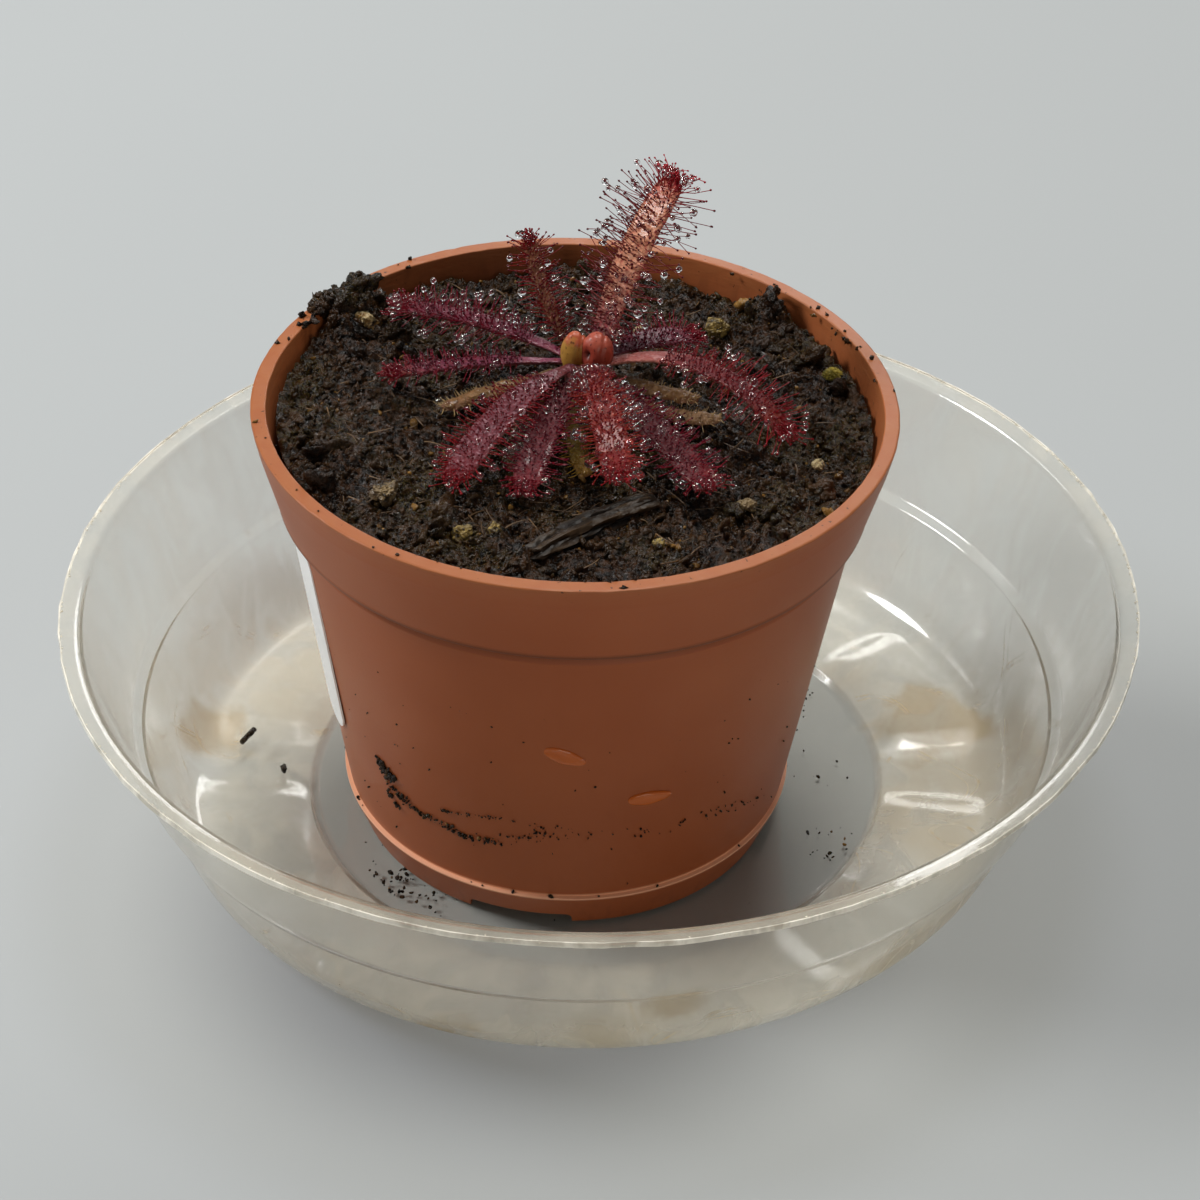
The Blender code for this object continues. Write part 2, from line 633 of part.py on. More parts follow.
class Rib:
    """The line of a leaf's mid-rib, traced in even steps, with its directions."""

    def __init__(self, leaf):
        self.points = []
        self.alongs = []
        self.sides = []
        start = polar(CROWN_RADIUS + GAP, leaf.heading, leaf.base_height)
        point = start + Vector((CROWN_X, CROWN_Y, 0.0))
        step = leaf.length / RIB_STEPS
        for index in range(RIB_STEPS + 1):
            share = index / RIB_STEPS
            heading = math.radians(leaf.heading + leaf.sweep * share)
            climb = math.radians(leaf.climb + (leaf.end_climb - leaf.climb) * share)
            level = Vector((math.cos(heading), math.sin(heading), 0.0))
            along = level * math.cos(climb) + Vector((0.0, 0.0, math.sin(climb)))
            self.points.append(point.copy())
            self.alongs.append(along)
            self.sides.append(Vector((-math.sin(heading), math.cos(heading), 0.0)))
            point += along * step

    def at(self, share):
        """Point, direction along, direction to the left and upward normal at a share of the length."""
        spot = min(max(share, 0.0), 1.0) * RIB_STEPS
        index = min(int(spot), RIB_STEPS - 1)
        part = spot - index
        point = self.points[index].lerp(self.points[index + 1], part)
        along = self.alongs[index]
        side = self.sides[index]
        return point, along, side, along.cross(side)


def half_width(leaf, share):
    """Half the blade's width: a narrow petiole, a long blade and a round tip."""
    rise = min(share / BLADE_WIDE_FROM, 1.0)
    swell = leaf.petiole + (1.0 - leaf.petiole) * rise * rise * (3.0 - 2.0 * rise)
    if share > BLADE_TIP_FROM:
        past = (share - BLADE_TIP_FROM) / (1.01 - BLADE_TIP_FROM)
        swell *= math.sqrt(max(1.0 - past ** 2, 0.08))
    return leaf.width / 2.0 * swell


def blade_point(leaf, rib, share, across):
    """A point of the blade's middle surface; across runs from -1 to 1."""
    point, _, side, normal = rib.at(share)
    half = half_width(leaf, share)
    curl = leaf.trough * across * across * half / (leaf.width / 2.0)
    return point + side * across * half + normal * curl


def build_blade(leaf, rib, collection, parent, finish):
    """The blade: a grid laid along the mid-rib and thickened."""
    bm = bmesh.new()
    bmesh.ops.create_grid(bm, x_segments=BLADE_CELLS_LONG, y_segments=BLADE_CELLS_WIDE, size=1.0)
    for vertex in bm.verts:
        share = (vertex.co.x + 1.0) / 2.0
        vertex.co = blade_point(leaf, rib, 1.0 - (1.0 - share) ** 1.25, vertex.co.y)
    blade = place(leaf.name, mesh_from(bm, leaf.name), collection, parent, finish)
    body = blade.modifiers.new("body", "SOLIDIFY")
    body.thickness = BLADE * MM
    body.offset = 0.0
    bake(blade)
    return blade


def needle_starts(leaf, draw):
    """Share, place across, outward lean and length of each needle, margins first."""
    starts = []
    run = NEEDLES_TO - NEEDLES_FROM
    spacing = NEEDLE_SPACING_DEAD if leaf.dead else NEEDLE_SPACING
    count = max(int(leaf.length * run / spacing), 2)
    for index in range(count):
        share = NEEDLES_FROM + run * (index + 0.5) / count
        for edge in (-1.0, 1.0):
            shift = draw.uniform(-0.012, 0.012)
            reach = leaf.needle * draw.uniform(0.82, 1.0)
            starts.append((share + shift, edge * MARGIN_ROW, edge * draw.uniform(0.85, 1.15), reach, 0.25))
    if leaf.dead:
        return starts
    for index in range(count):
        share = NEEDLES_FROM + run * (index + 0.1) / count
        across = INNER_ROW if index % 2 else -INNER_ROW
        reach = leaf.needle * draw.uniform(*INNER_REACH)
        starts.append((share, across, across * 0.9, reach, 0.1))
    for lean in (-0.5, 0.0, 0.5):
        starts.append((NEEDLES_TO, lean * 0.9, lean, leaf.needle * TIP_REACH, 1.5))
    return starts


class Crowd:
    """What a needle keeps clear of: other leaves, their needles, the buds and the soil."""

    def __init__(self, ribs):
        samples = []
        for number, (leaf, rib) in enumerate(ribs):
            for step in range(41):
                for across in (-1.0, -0.5, 0.0, 0.5, 1.0):
                    samples.append((blade_point(leaf, rib, step / 40.0, across), number))
        self.blades = self.tree(samples)
        self.needle_samples = []
        self.needles = self.tree([])

    @staticmethod
    def tree(samples):
        """A search tree of (point, leaf number) samples."""
        found = KDTree(max(len(samples), 1))
        for point, number in samples:
            found.insert(point, number)
        found.balance()
        return found

    @staticmethod
    def along(root, tip):
        """Even points along a needle, past its root."""
        return [root.lerp(tip, step / NEEDLE_SAMPLES) for step in range(1, NEEDLE_SAMPLES + 1)]

    def add(self, needles, number):
        """Adds a leaf's needles."""
        for root, tip in needles:
            for point in self.along(root, tip):
                self.needle_samples.append((point, number))
        self.needles = self.tree(self.needle_samples)

    def free(self, root, tip, number):
        """True where a needle from root to tip meets nothing of another leaf."""
        buds = Vector((CROWN_X, CROWN_Y, CROWN_TOP))
        for point in self.along(root, tip):
            if any(found[1] != number for found in self.blades.find_range(point, BLADE_CLEARANCE)):
                return False
            if self.needles.find_range(point, NEEDLE_CLEARANCE):
                return False
            if point.z < SOIL_UNDER_LEAVES + SOIL_CLEARANCE or (point - buds).length < BUDS_REACH:
                return False
        return True


def needles_of(leaf, rib, number, crowd, draw):
    """Root and tip of each needle that has room, bent upright where it would meet another leaf."""
    needles = []
    for share, across, lean, reach, forward in needle_starts(leaf, draw):
        root = blade_point(leaf, rib, share, across)
        _, along, side, normal = rib.at(share)
        for upright in UPRIGHT_TRIES:
            way = side * lean + normal * (NEEDLE_RISE + upright) + along * forward
            tip = root + way.normalized() * reach * (1.0 - 0.15 * upright)
            if crowd.free(root, tip, number):
                needles.append((root, tip))
                break
    return needles


def add_needle(root, tip, spin, collection):
    """A three-sided needle with its root sunk in the blade."""
    bm = bmesh.new()
    way = (tip - root).normalized()
    depth = (tip - root).length
    bmesh.ops.create_cone(bm, cap_ends=True, segments=3, radius1=NEEDLE_ROOT_RADIUS, radius2=0.0, depth=depth)
    turn = way.to_track_quat("Z", "Y").to_matrix().to_4x4() @ Matrix.Rotation(spin, 4, "Z")
    middle = Matrix.Translation((root + tip) / 2.0)
    bmesh.ops.transform(bm, matrix=middle @ turn, verts=bm.verts)
    return place("needle", mesh_from(bm, "needle"), collection)


def fuse(body, collection):
    """Joins a collection's objects to a body by one Boolean union, then removes them."""
    union = body.modifiers.new("fuse", "BOOLEAN")
    union.operation = "UNION"
    union.operand_type = "COLLECTION"
    union.collection = collection
    union.solver = "EXACT"
    bake(body)
    for thing in list(collection.objects):
        bpy.data.objects.remove(thing, do_unlink=True)


def build_leaves(collection, parent, finishes):
    """Every leaf as one node, its needles fused to its blade."""
    draw = random.Random(SEED)
    ribs = [(leaf, Rib(leaf)) for leaf in LEAVES]
    crowd = Crowd(ribs)
    bunch = new_collection("needle_bunch")
    for number, (leaf, rib) in enumerate(ribs):
        finish = finishes["withered"] if leaf.dead else finishes["leaf"]
        blade = build_blade(leaf, rib, collection, None, finish)
        needles = needles_of(leaf, rib, number, crowd, draw)
        crowd.add(needles, number)
        for root, tip in needles:
            add_needle(root, tip, draw.uniform(0.0, math.tau), bunch)
        fuse(blade, bunch)
        blade.parent = parent
    bpy.data.collections.remove(bunch)


def main():
    """Builds the saucer, the pot, the soil and the plant."""
    clear_scene()
    parts = new_collection("potted_sundew")
    cutters = new_collection("cutters")
    finishes = {
        "saucer": material("clear_plastic", (0.80, 0.78, 0.70), 0.15, 0.4),
        "pot": material("terracotta_plastic", (0.30, 0.09, 0.035), 0.42),
        "label": material("label_paper", (0.85, 0.85, 0.84), 0.5),
        "soil": material("wet_peat", (0.012, 0.009, 0.007), 0.35),
        "stem": material("stem_green", (0.20, 0.13, 0.04), 0.5),
        "golden": material("bud_golden", (0.42, 0.25, 0.05), 0.4),
        "red": material("bud_red", (0.32, 0.05, 0.03), 0.4),
        "leaf": material("leaf_red", (0.35, 0.03, 0.05), 0.35),
        "withered": material("leaf_withered", (0.12, 0.06, 0.03), 0.7),
        "grit": material("grit", (0.42, 0.30, 0.11), 0.6),
        "moss": material("moss", (0.30, 0.30, 0.05), 0.8),
        "bark": material("bark", (0.035, 0.028, 0.022), 0.7),
    }
    build_saucer(parts, finishes["saucer"])
    stand = bpy.data.objects.new("pot_place", None)
    parts.objects.link(stand)
    stand.location = Vector((POT_X, POT_Y, SAUCER_WALL + GAP)) * MM
    build_pot(parts, cutters, stand, finishes["pot"])
    build_label(parts, stand, finishes["label"])
    build_soil(parts, cutters, stand, finishes["soil"])
    for grit in GRITS:
        finish = finishes["moss"] if grit is MOSS_TUFT else finishes["grit"]
        place(grit.name, grit_mesh(grit, 0.0), parts, stand, finish)
    place("bark_strip", bark_mesh(0.0), parts, stand, finishes["bark"])
    build_stem(parts, stand, finishes["stem"])
    for bud in BUDS:
        finish = finishes["red"] if bud.pit else finishes["golden"]
        place(bud.name, bud_mesh(bud), parts, stand, finish)
    build_leaves(parts, stand, finishes)


main()
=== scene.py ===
"""Potted sundew: the looks of the plant, its pot and its saucer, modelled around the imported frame.

Sizes are in millimetres and are scaled to metres where a mesh is written. The frame's nodes give the
places of the pot, the crown, the grit and the moss; the leaves follow the same mid-ribs as the solids.
"""
from __future__ import annotations

import logging
import math
from contextlib import contextmanager
from dataclasses import dataclass
from enum import Enum
from typing import Callable, Iterator, Sequence

import bpy
import numpy as np
from bpy.types import Material, NodeSocket, Object
from mathutils import Matrix, Vector, noise
from numpy.random import Generator, default_rng

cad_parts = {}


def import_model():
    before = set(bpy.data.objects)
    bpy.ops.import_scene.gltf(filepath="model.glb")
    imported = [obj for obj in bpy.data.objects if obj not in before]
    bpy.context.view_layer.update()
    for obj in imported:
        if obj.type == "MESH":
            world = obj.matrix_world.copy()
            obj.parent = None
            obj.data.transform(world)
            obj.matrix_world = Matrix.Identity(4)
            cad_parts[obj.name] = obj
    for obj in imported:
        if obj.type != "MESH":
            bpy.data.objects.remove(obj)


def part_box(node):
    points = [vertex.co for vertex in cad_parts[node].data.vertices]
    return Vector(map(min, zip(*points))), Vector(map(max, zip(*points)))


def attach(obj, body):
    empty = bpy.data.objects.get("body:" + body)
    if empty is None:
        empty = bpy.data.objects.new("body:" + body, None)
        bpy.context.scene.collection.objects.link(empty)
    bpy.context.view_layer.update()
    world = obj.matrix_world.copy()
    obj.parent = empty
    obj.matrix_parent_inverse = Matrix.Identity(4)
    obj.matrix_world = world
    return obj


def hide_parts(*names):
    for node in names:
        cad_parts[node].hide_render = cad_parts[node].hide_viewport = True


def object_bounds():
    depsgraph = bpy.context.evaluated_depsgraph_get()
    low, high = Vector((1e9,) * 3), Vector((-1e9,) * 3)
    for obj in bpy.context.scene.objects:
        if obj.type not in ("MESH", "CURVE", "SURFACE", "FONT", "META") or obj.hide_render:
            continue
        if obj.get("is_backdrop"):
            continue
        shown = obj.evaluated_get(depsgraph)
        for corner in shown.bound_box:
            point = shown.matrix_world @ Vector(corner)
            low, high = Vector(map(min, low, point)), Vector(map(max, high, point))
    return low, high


MM = 0.001
BODY = "root"
GLUE_ALLOWANCE = 1.3
LOG = logging.getLogger("potted_sundew")

Array = np.ndarray
Profile = Sequence[tuple[float, float]]
Rule = Callable[[Array], Array]

TIMES = {"operation": "MULTIPLY", "use_clamp": True}
PLUS = {"operation": "ADD", "use_clamp": True}
GREATER = {"operation": "MAXIMUM", "use_clamp": True}


# Materials


def linear(code: str) -> tuple[float, float, float, float]:
    """Turns an sRGB hex colour to the linear values that a shader takes.

    Args:
        code: six hex digits, red first.

    Returns:
        Red, green, blue and an alpha of 1.
    """
    channels = [int(code[start:start + 2], 16) / 255.0 for start in (0, 2, 4)]
    low = [value / 12.92 for value in channels]
    high = [((value + 0.055) / 1.055) ** 2.4 for value in channels]
    picked = [a if value <= 0.04045 else b for value, a, b in zip(channels, low, high)]
    return (*picked, 1.0)


class Recipe:
    """A material in the making: its node tree and its principled shader."""

    def __init__(self, name: str) -> None:
        """Starts a material.

        Args:
            name: its name.
        """
        self.material = bpy.data.materials.new(name)
        self.material.use_nodes = True
        self.tree = self.material.node_tree
        self.shader = self.tree.nodes["Principled BSDF"]

    def fill(self, socket: NodeSocket, value: NodeSocket | str | float | Sequence[float] | None) -> None:
        """Links a socket, or sets it to a value or a hex colour; None leaves it as it is.

        Args:
            socket: the input.
            value: an output, a number, some numbers or a hex colour.
        """
        if isinstance(value, NodeSocket):
            self.tree.links.new(value, socket)
        elif value is not None:
            socket.default_value = linear(value) if isinstance(value, str) else value

    def add(self, kind: str, *inputs: object, gives: str = "", **settings: object) -> NodeSocket:
        """Adds a node with its settings and links.

        Args:
            kind: the node's type, without the ShaderNode before it.
            *inputs: a value, a hex colour or a socket for each open input in order, or None to leave one.
            gives: name of the output that is wanted, if it isn't the first open one.
            **settings: the node's own properties.

        Returns:
            The output.
        """
        node = self.tree.nodes.new(f"ShaderNode{kind}")
        for name, value in settings.items():
            setattr(node, name, value)
        for socket, value in zip([socket for socket in node.inputs if socket.enabled], inputs):
            self.fill(socket, value)
        return node.outputs[gives] if gives else next(socket for socket in node.outputs if socket.enabled)

    def lumps(self, size: float, detail: float = 3.0, stretch: Sequence[float] = (1, 1, 1),
              swirl: float = 0.0) -> NodeSocket:
        """Object-space noise whose lumps have a real size.

        Args:
            size: size of the lumps in millimetres.
            detail: octaves of finer noise.
            stretch: how much longer the lumps are along each axis.
            swirl: how much the pattern is swirled.

        Returns:
            The noise, about 0.5 in the mean.
        """
        scale = [1.0 / (size * MM * share) for share in stretch]
        place = self.add("Mapping", self.add("TexCoord", gives="Object"), None, None, scale)
        return self.add("TexNoise", place, 1.0, detail, None, None, swirl)

    def layered(self, base: NodeSocket | str, *layers: tuple) -> NodeSocket:
        """Lays colours over a base, one after the other.

        Args:
            base: a hex colour or a colour socket.
            *layers: each a colour and its share, or a colour, a value and the two ends between which the
                value brings the colour out, with the least and the greatest share if they aren't 0 and 1.

        Returns:
            The colour.
        """
        for colour, *share in layers:
            strength = self.add("MapRange", *share) if len(share) > 1 else share[0]
            base = self.add("Mix", strength, base, colour, data_type="RGBA")
        return base

    def relief(self, *layers: tuple[NodeSocket, float]) -> NodeSocket:
        """Bumps laid over each other, the coarse one first.

        Args:
            *layers: height from 0 to 1, and depth in millimetres.

        Returns:
            The normal.
        """
        normal = None
        for height, depth in layers:
            normal = self.add("Bump", 1.0, depth * MM, None, height, normal)
        return normal

    def finish(self, **sockets: object) -> Material:
        """Fills the shader's sockets.

        Args:
            **sockets: what goes into each, by its name with underscores for blanks.

        Returns:
            The material.
        """
        for name, value in sockets.items():
            self.fill(self.shader.inputs[name.replace("_", " ")], value)
        return self.material

    def lamps_through(self, body: NodeSocket, tint: Sequence[float]) -> None:
        """Lets lamps shine through a clear body, so that what stands behind it is lit once and evenly.

        Args:
            body: the shader that the eye sees.
            tint: red, green and blue of the light that passes.
        """
        through = self.add("BsdfTransparent", (*tint, 1.0))
        for ray in ("Is Diffuse Ray", "Is Shadow Ray"):
            body = self.add("MixShader", self.add("LightPath", gives=ray), body, through)
        self.tree.links.new(body, self.tree.nodes["Material Output"].inputs["Surface"])


# Modelling


def pick_only(obj: Object) -> None:
    """Selects one object and makes it the active one.

    Args:
        obj: the object.
    """
    bpy.ops.object.select_all(action="DESELECT")
    obj.select_set(True)
    bpy.context.view_layer.objects.active = obj


@contextmanager
def editing(obj: Object, whole: bool = True) -> Iterator[None]:
    """Opens an object in edit mode and leaves it again.

    Args:
        obj: the object.
        whole: True to select all of it, False to keep its points selected as they are.

    Returns:
        A context in which the object is open.
    """
    pick_only(obj)
    bpy.ops.object.mode_set(mode="EDIT")
    if whole:
        bpy.ops.mesh.select_all(action="SELECT")
    try:
        yield
    finally:
        bpy.ops.object.mode_set(mode="OBJECT")


def named(name: str) -> Object:
    """Names the object that an operator has just added.

    Args:
        name: the object's name.

    Returns:
        The object.
    """
    obj = bpy.context.active_object
    obj.name = name
    obj.data.name = name
    return obj


def primitive(name: str, operator: Callable, **settings: object) -> Object:
    """Adds a primitive while nothing else is selected, and names it.

    Args:
        name: the object's name.
        operator: the operator that adds it.
        **settings: its size and place.

    Returns:
        The object.
    """
    bpy.ops.object.select_all(action="DESELECT")
    operator(**settings)
    return named(name)


def turned(name: str, profile: Profile, sides: int, capped: bool = True) -> Object:
    """Turns a profile about Z by drawing a ring of edges from corner to corner.

    Args:
        name: the object's name.
        profile: radius and height of each corner, in millimetres.
        sides: number of sides.
        capped: True to close both ends.

    Returns:
        The object, at the origin.
    """
    radius, height = profile[0]
    obj = primitive(name, bpy.ops.mesh.primitive_circle_add, vertices=sides, radius=radius * MM,
                    location=(0.0, 0.0, height * MM))
    with editing(obj):
        for (last_radius, last_height), (radius, height) in zip(profile, profile[1:]):
            rise = (0.0, 0.0, (height - last_height) * MM)
            bpy.ops.mesh.extrude_region_move(TRANSFORM_OT_translate={"value": rise})
            share = radius / last_radius
            bpy.ops.transform.resize(value=(share, share, 1.0), center_override=(0.0, 0.0, height * MM))
        if capped:
            bpy.ops.mesh.select_all(action="DESELECT")
            bpy.ops.mesh.select_non_manifold()
            bpy.ops.mesh.fill_holes(sides=0)
        bpy.ops.mesh.select_all(action="SELECT")
        bpy.ops.mesh.normals_make_consistent(inside=False)
    pick_only(obj)
    bpy.ops.object.transform_apply(location=True, rotation=True, scale=True)
    return obj


def rounded(corners: Sequence[tuple[float, float, float]], steps: int = 6) -> list[tuple[float, float]]:
    """Rounds a profile's corners with arcs.

    Args:
        corners: radius, height and rounding radius of each corner.
        steps: pieces in each arc.

    Returns:
        The profile's points.
    """
    points = [corners[0][:2]]
    for before, corner, after in zip(corners, corners[1:], corners[2:]):
        here = Vector(corner[:2])
        if corner[2] <= 0.0:
            points.append(tuple(here))
            continue
        back = Vector(before[:2]) - here
        ahead = Vector(after[:2]) - here
        cut = min(corner[2] / math.tan(back.angle(ahead) / 2.0), back.length * 0.49, ahead.length * 0.49)
        start = here + back.normalized() * cut
        end = here + ahead.normalized() * cut
        for step in range(steps + 1):
            share = step / steps
            points.append(tuple(start.lerp(here, share).lerp(here.lerp(end, share), share)))
    points.append(corners[-1][:2])
    return points


def refined(points: Profile, longest: float) -> Profile:
    """Splits a profile's long runs.

    Args:
        points: the profile.
        longest: the longest run that stays whole, in millimetres.

    Returns:
        The profile with more points.
    """
    out = [points[0]]
    for first, second in zip(points, points[1:]):
        parts = max(int(math.dist(first, second) / longest), 1)
        for part in range(1, parts + 1):
            share = part / parts
            out.append(tuple(a + (b - a) * share for a, b in zip(first, second)))
    return out


def points_of(obj: Object) -> Array:
    """The points of a mesh, in millimetres, one a row.

    Args:
        obj: the object.

    Returns:
        The points.
    """
    flat = np.empty(len(obj.data.vertices) * 3, dtype=np.float32)
    obj.data.vertices.foreach_get("co", flat)
    return flat.reshape(-1, 3).astype(np.float64) / MM


def reshape(obj: Object, rule: Rule) -> None:
    """Moves every point of a mesh by a rule on its coordinates in millimetres.

    Args:
        obj: the object.
        rule: gives each point's new place, all in millimetres.
    """
    moved = rule(points_of(obj)) * MM
    obj.data.vertices.foreach_set("co", moved.astype(np.float32).ravel())
    obj.data.update()


def lumps(points: Array, size: float, seed: float = 0.0) -> Array:
    """Smooth noise from about -1 to 1 at each point.

    Args:
        points: points in millimetres.
        size: size of the lumps in millimetres.
        seed: another seed gives another pattern.

    Returns:
        One value for each point.
    """
    shift = Vector((seed * 7.31, seed * 3.17, seed * 5.53))
    return np.array([noise.noise(Vector(point) / size + shift) for point in points])


def from_axis(points: Array) -> Array:
    """How far each point stands from the upright axis through the origin."""
    return np.hypot(points[:, 0], points[:, 1])


def unit(vectors: Array) -> Array:
    """Brings each vector, on the last axis, to length 1."""
    return vectors / np.maximum(np.linalg.norm(vectors, axis=-1, keepdims=True), 1e-9)


def upright(shares: Array) -> Array:
    """Scales for each point: its share across and along, and 1 for its height."""
    return np.stack([shares, shares, np.ones_like(shares)], axis=1)


def step_up(values: Array | float, start: float, run: float) -> Array:
    """Rises evenly from 0 to 1 while the values pass a run from its start; a negative run falls."""
    return np.clip((values - start) / run, 0.0, 1.0)


def hold(obj: Object, **values: Array) -> None:
    """Keeps values at each point of a mesh, for a material to read by their names.

    Args:
        obj: the object.
        **values: the values by their names, one for each point.
    """
    for name, array in values.items():
        layer = obj.data.attributes.new(name, "FLOAT", "POINT")
        layer.data.foreach_set("value", np.asarray(array, dtype=np.float32).ravel())


def apply_modifiers(obj: Object) -> None:
    """Applies an object's modifiers in order.

    Args:
        obj: the object.
    """
    pick_only(obj)
    for modifier in list(obj.modifiers):
        bpy.ops.object.modifier_apply(modifier=modifier.name)


def thicken(obj: Object, thickness: float, offset: float) -> None:
    """Gives a sheet its wall.

    Args:
        obj: the object.
        thickness: thickness of the wall in millimetres.
        offset: -1 for a wall below the sheet, 1 for one above it.
    """
    wall = obj.modifiers.new("wall", "SOLIDIFY")
    wall.thickness = thickness * MM
    wall.offset = offset
    apply_modifiers(obj)


def face_outwards(obj: Object, way: Sequence[float]) -> None:
    """Makes an open sheet's faces agree, and turns them if they look away from a direction.

    Args:
        obj: the object.
        way: the direction that the faces have to look in.
    """
    with editing(obj):
        bpy.ops.mesh.normals_make_consistent(inside=False)
    if sum(face.normal.dot(Vector(way)) for face in obj.data.polygons) < 0.0:
        with editing(obj):
            bpy.ops.mesh.flip_normals()


def joined(name: str, pieces: Sequence[Object]) -> Object:
    """Joins objects into the first one and names it.

    Args:
        name: the object's name.
        pieces: the objects, all of which become part of the first.

    Returns:
        The joined object.
    """
    bpy.ops.object.select_all(action="DESELECT")
    for piece in pieces:
        piece.select_set(True)
    bpy.context.view_layer.objects.active = pieces[0]
    bpy.ops.object.join()
    return named(name)


def dress(obj: Object, finish: Material, sharp: float | None = None) -> None:
    """Shades a mesh smooth and gives it its material.

    Args:
        obj: the mesh.
        finish: the material.
        sharp: angle in degrees past which an edge stays sharp, if any does.
    """
    if sharp is None:
        obj.data.shade_smooth()
    else:
        pick_only(obj)
        bpy.ops.object.shade_smooth_by_angle(angle=math.radians(sharp))
    obj.data.materials.append(finish)


def hand_over(obj: Object, slot: str, *nodes: str) -> None:
    """Attaches a finished piece to the body, hides the solids that it stands for and logs its triangles.

    Args:
        obj: the piece.
        slot: the record's material slot for its finish; not used.
        *nodes: the solids that it stands for.
    """
    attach(obj, BODY)
    if nodes:
        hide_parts(*nodes)
    obj.data.calc_loop_triangles()
    LOG.info("%s: %d triangles", obj.name, len(obj.data.loop_triangles))


def middle_and_half(node: str) -> tuple[Array, Array]:
    """The middle and the half size of a solid's box, in millimetres."""
    low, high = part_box(node)
    return np.array((low + high) / 2.0) / MM, np.array((high - low) / 2.0) / MM


@dataclass
class Pattern:
    """A small shape that is modelled once and copied many times."""

    points: Array
    corners: Array
    starts: Array

    @classmethod
    def taken_from(cls, obj: Object) -> Pattern:
        """Reads a modelled object's shape, in millimetres, and removes the object.

        Args:
            obj: the object.

        Returns:
            The pattern.
        """
        mesh = obj.data
        corners = np.empty(len(mesh.loops), dtype=np.int32)
        mesh.loops.foreach_get("vertex_index", corners)
        starts = np.empty(len(mesh.polygons), dtype=np.int32)
        mesh.polygons.foreach_get("loop_start", starts)
        shape = cls(points_of(obj), corners, starts)
        bpy.data.objects.remove(obj, do_unlink=True)
        return shape

    def spread(self, values: Array) -> Array:
        """Repeats one value a copy over all the points of each copy."""
        return np.repeat(values[:, None], len(self.points), axis=1)

    def copies(self, name: str, places: Array, finish: Material, **values: Array) -> Object:
        """Makes one mesh of many copies.

        Args:
            name: the object's name.
            places: the points of every copy, in millimetres, as an array of copies by points by 3.
            finish: the material.
            **values: arrays of copies by points, for materials to read.

        Returns:
            The object.
        """
        count, size = places.shape[:2]
        mesh = bpy.data.meshes.new(name)
        mesh.vertices.add(count * size)
        mesh.vertices.foreach_set("co", (places * MM).astype(np.float32).ravel())
        order = np.arange(count)[:, None]
        corners = (self.corners[None, :] + size * order).astype(np.int32).ravel()
        starts = (self.starts[None, :] + len(self.corners) * order).astype(np.int32).ravel()
        mesh.loops.add(len(corners))
        mesh.loops.foreach_set("vertex_index", corners)
        mesh.polygons.add(len(starts))
        mesh.polygons.foreach_set("loop_start", starts)
        mesh.update(calc_edges=True)
        obj = bpy.data.objects.new(name, mesh)
        bpy.context.scene.collection.objects.link(obj)
        dress(obj, finish)
        hold(obj, **values)
        return obj


def strewn(pattern: Pattern, centres: Array, sizes: Array, draw: Generator) -> Array:
    """Points of copies turned at random, scaled and set at their centres.

    Args:
        pattern: the shape that is copied, about 1 mm across.
        centres: where each copy goes.
        sizes: the scale of each copy along its own three axes.
        draw: the source of random numbers.

    Returns:
        Copies by points by 3.
    """
    third = unit(draw.normal(size=centres.shape))
    first = unit(np.cross(third, draw.normal(size=third.shape)))
    turns = np.stack([first, np.cross(third, first), third], axis=2)
    scaled = pattern.points[None, :, :] * sizes[:, None, :]
    return np.einsum("kij,knj->kni", turns, scaled) + centres[:, None, :]


# Finishes


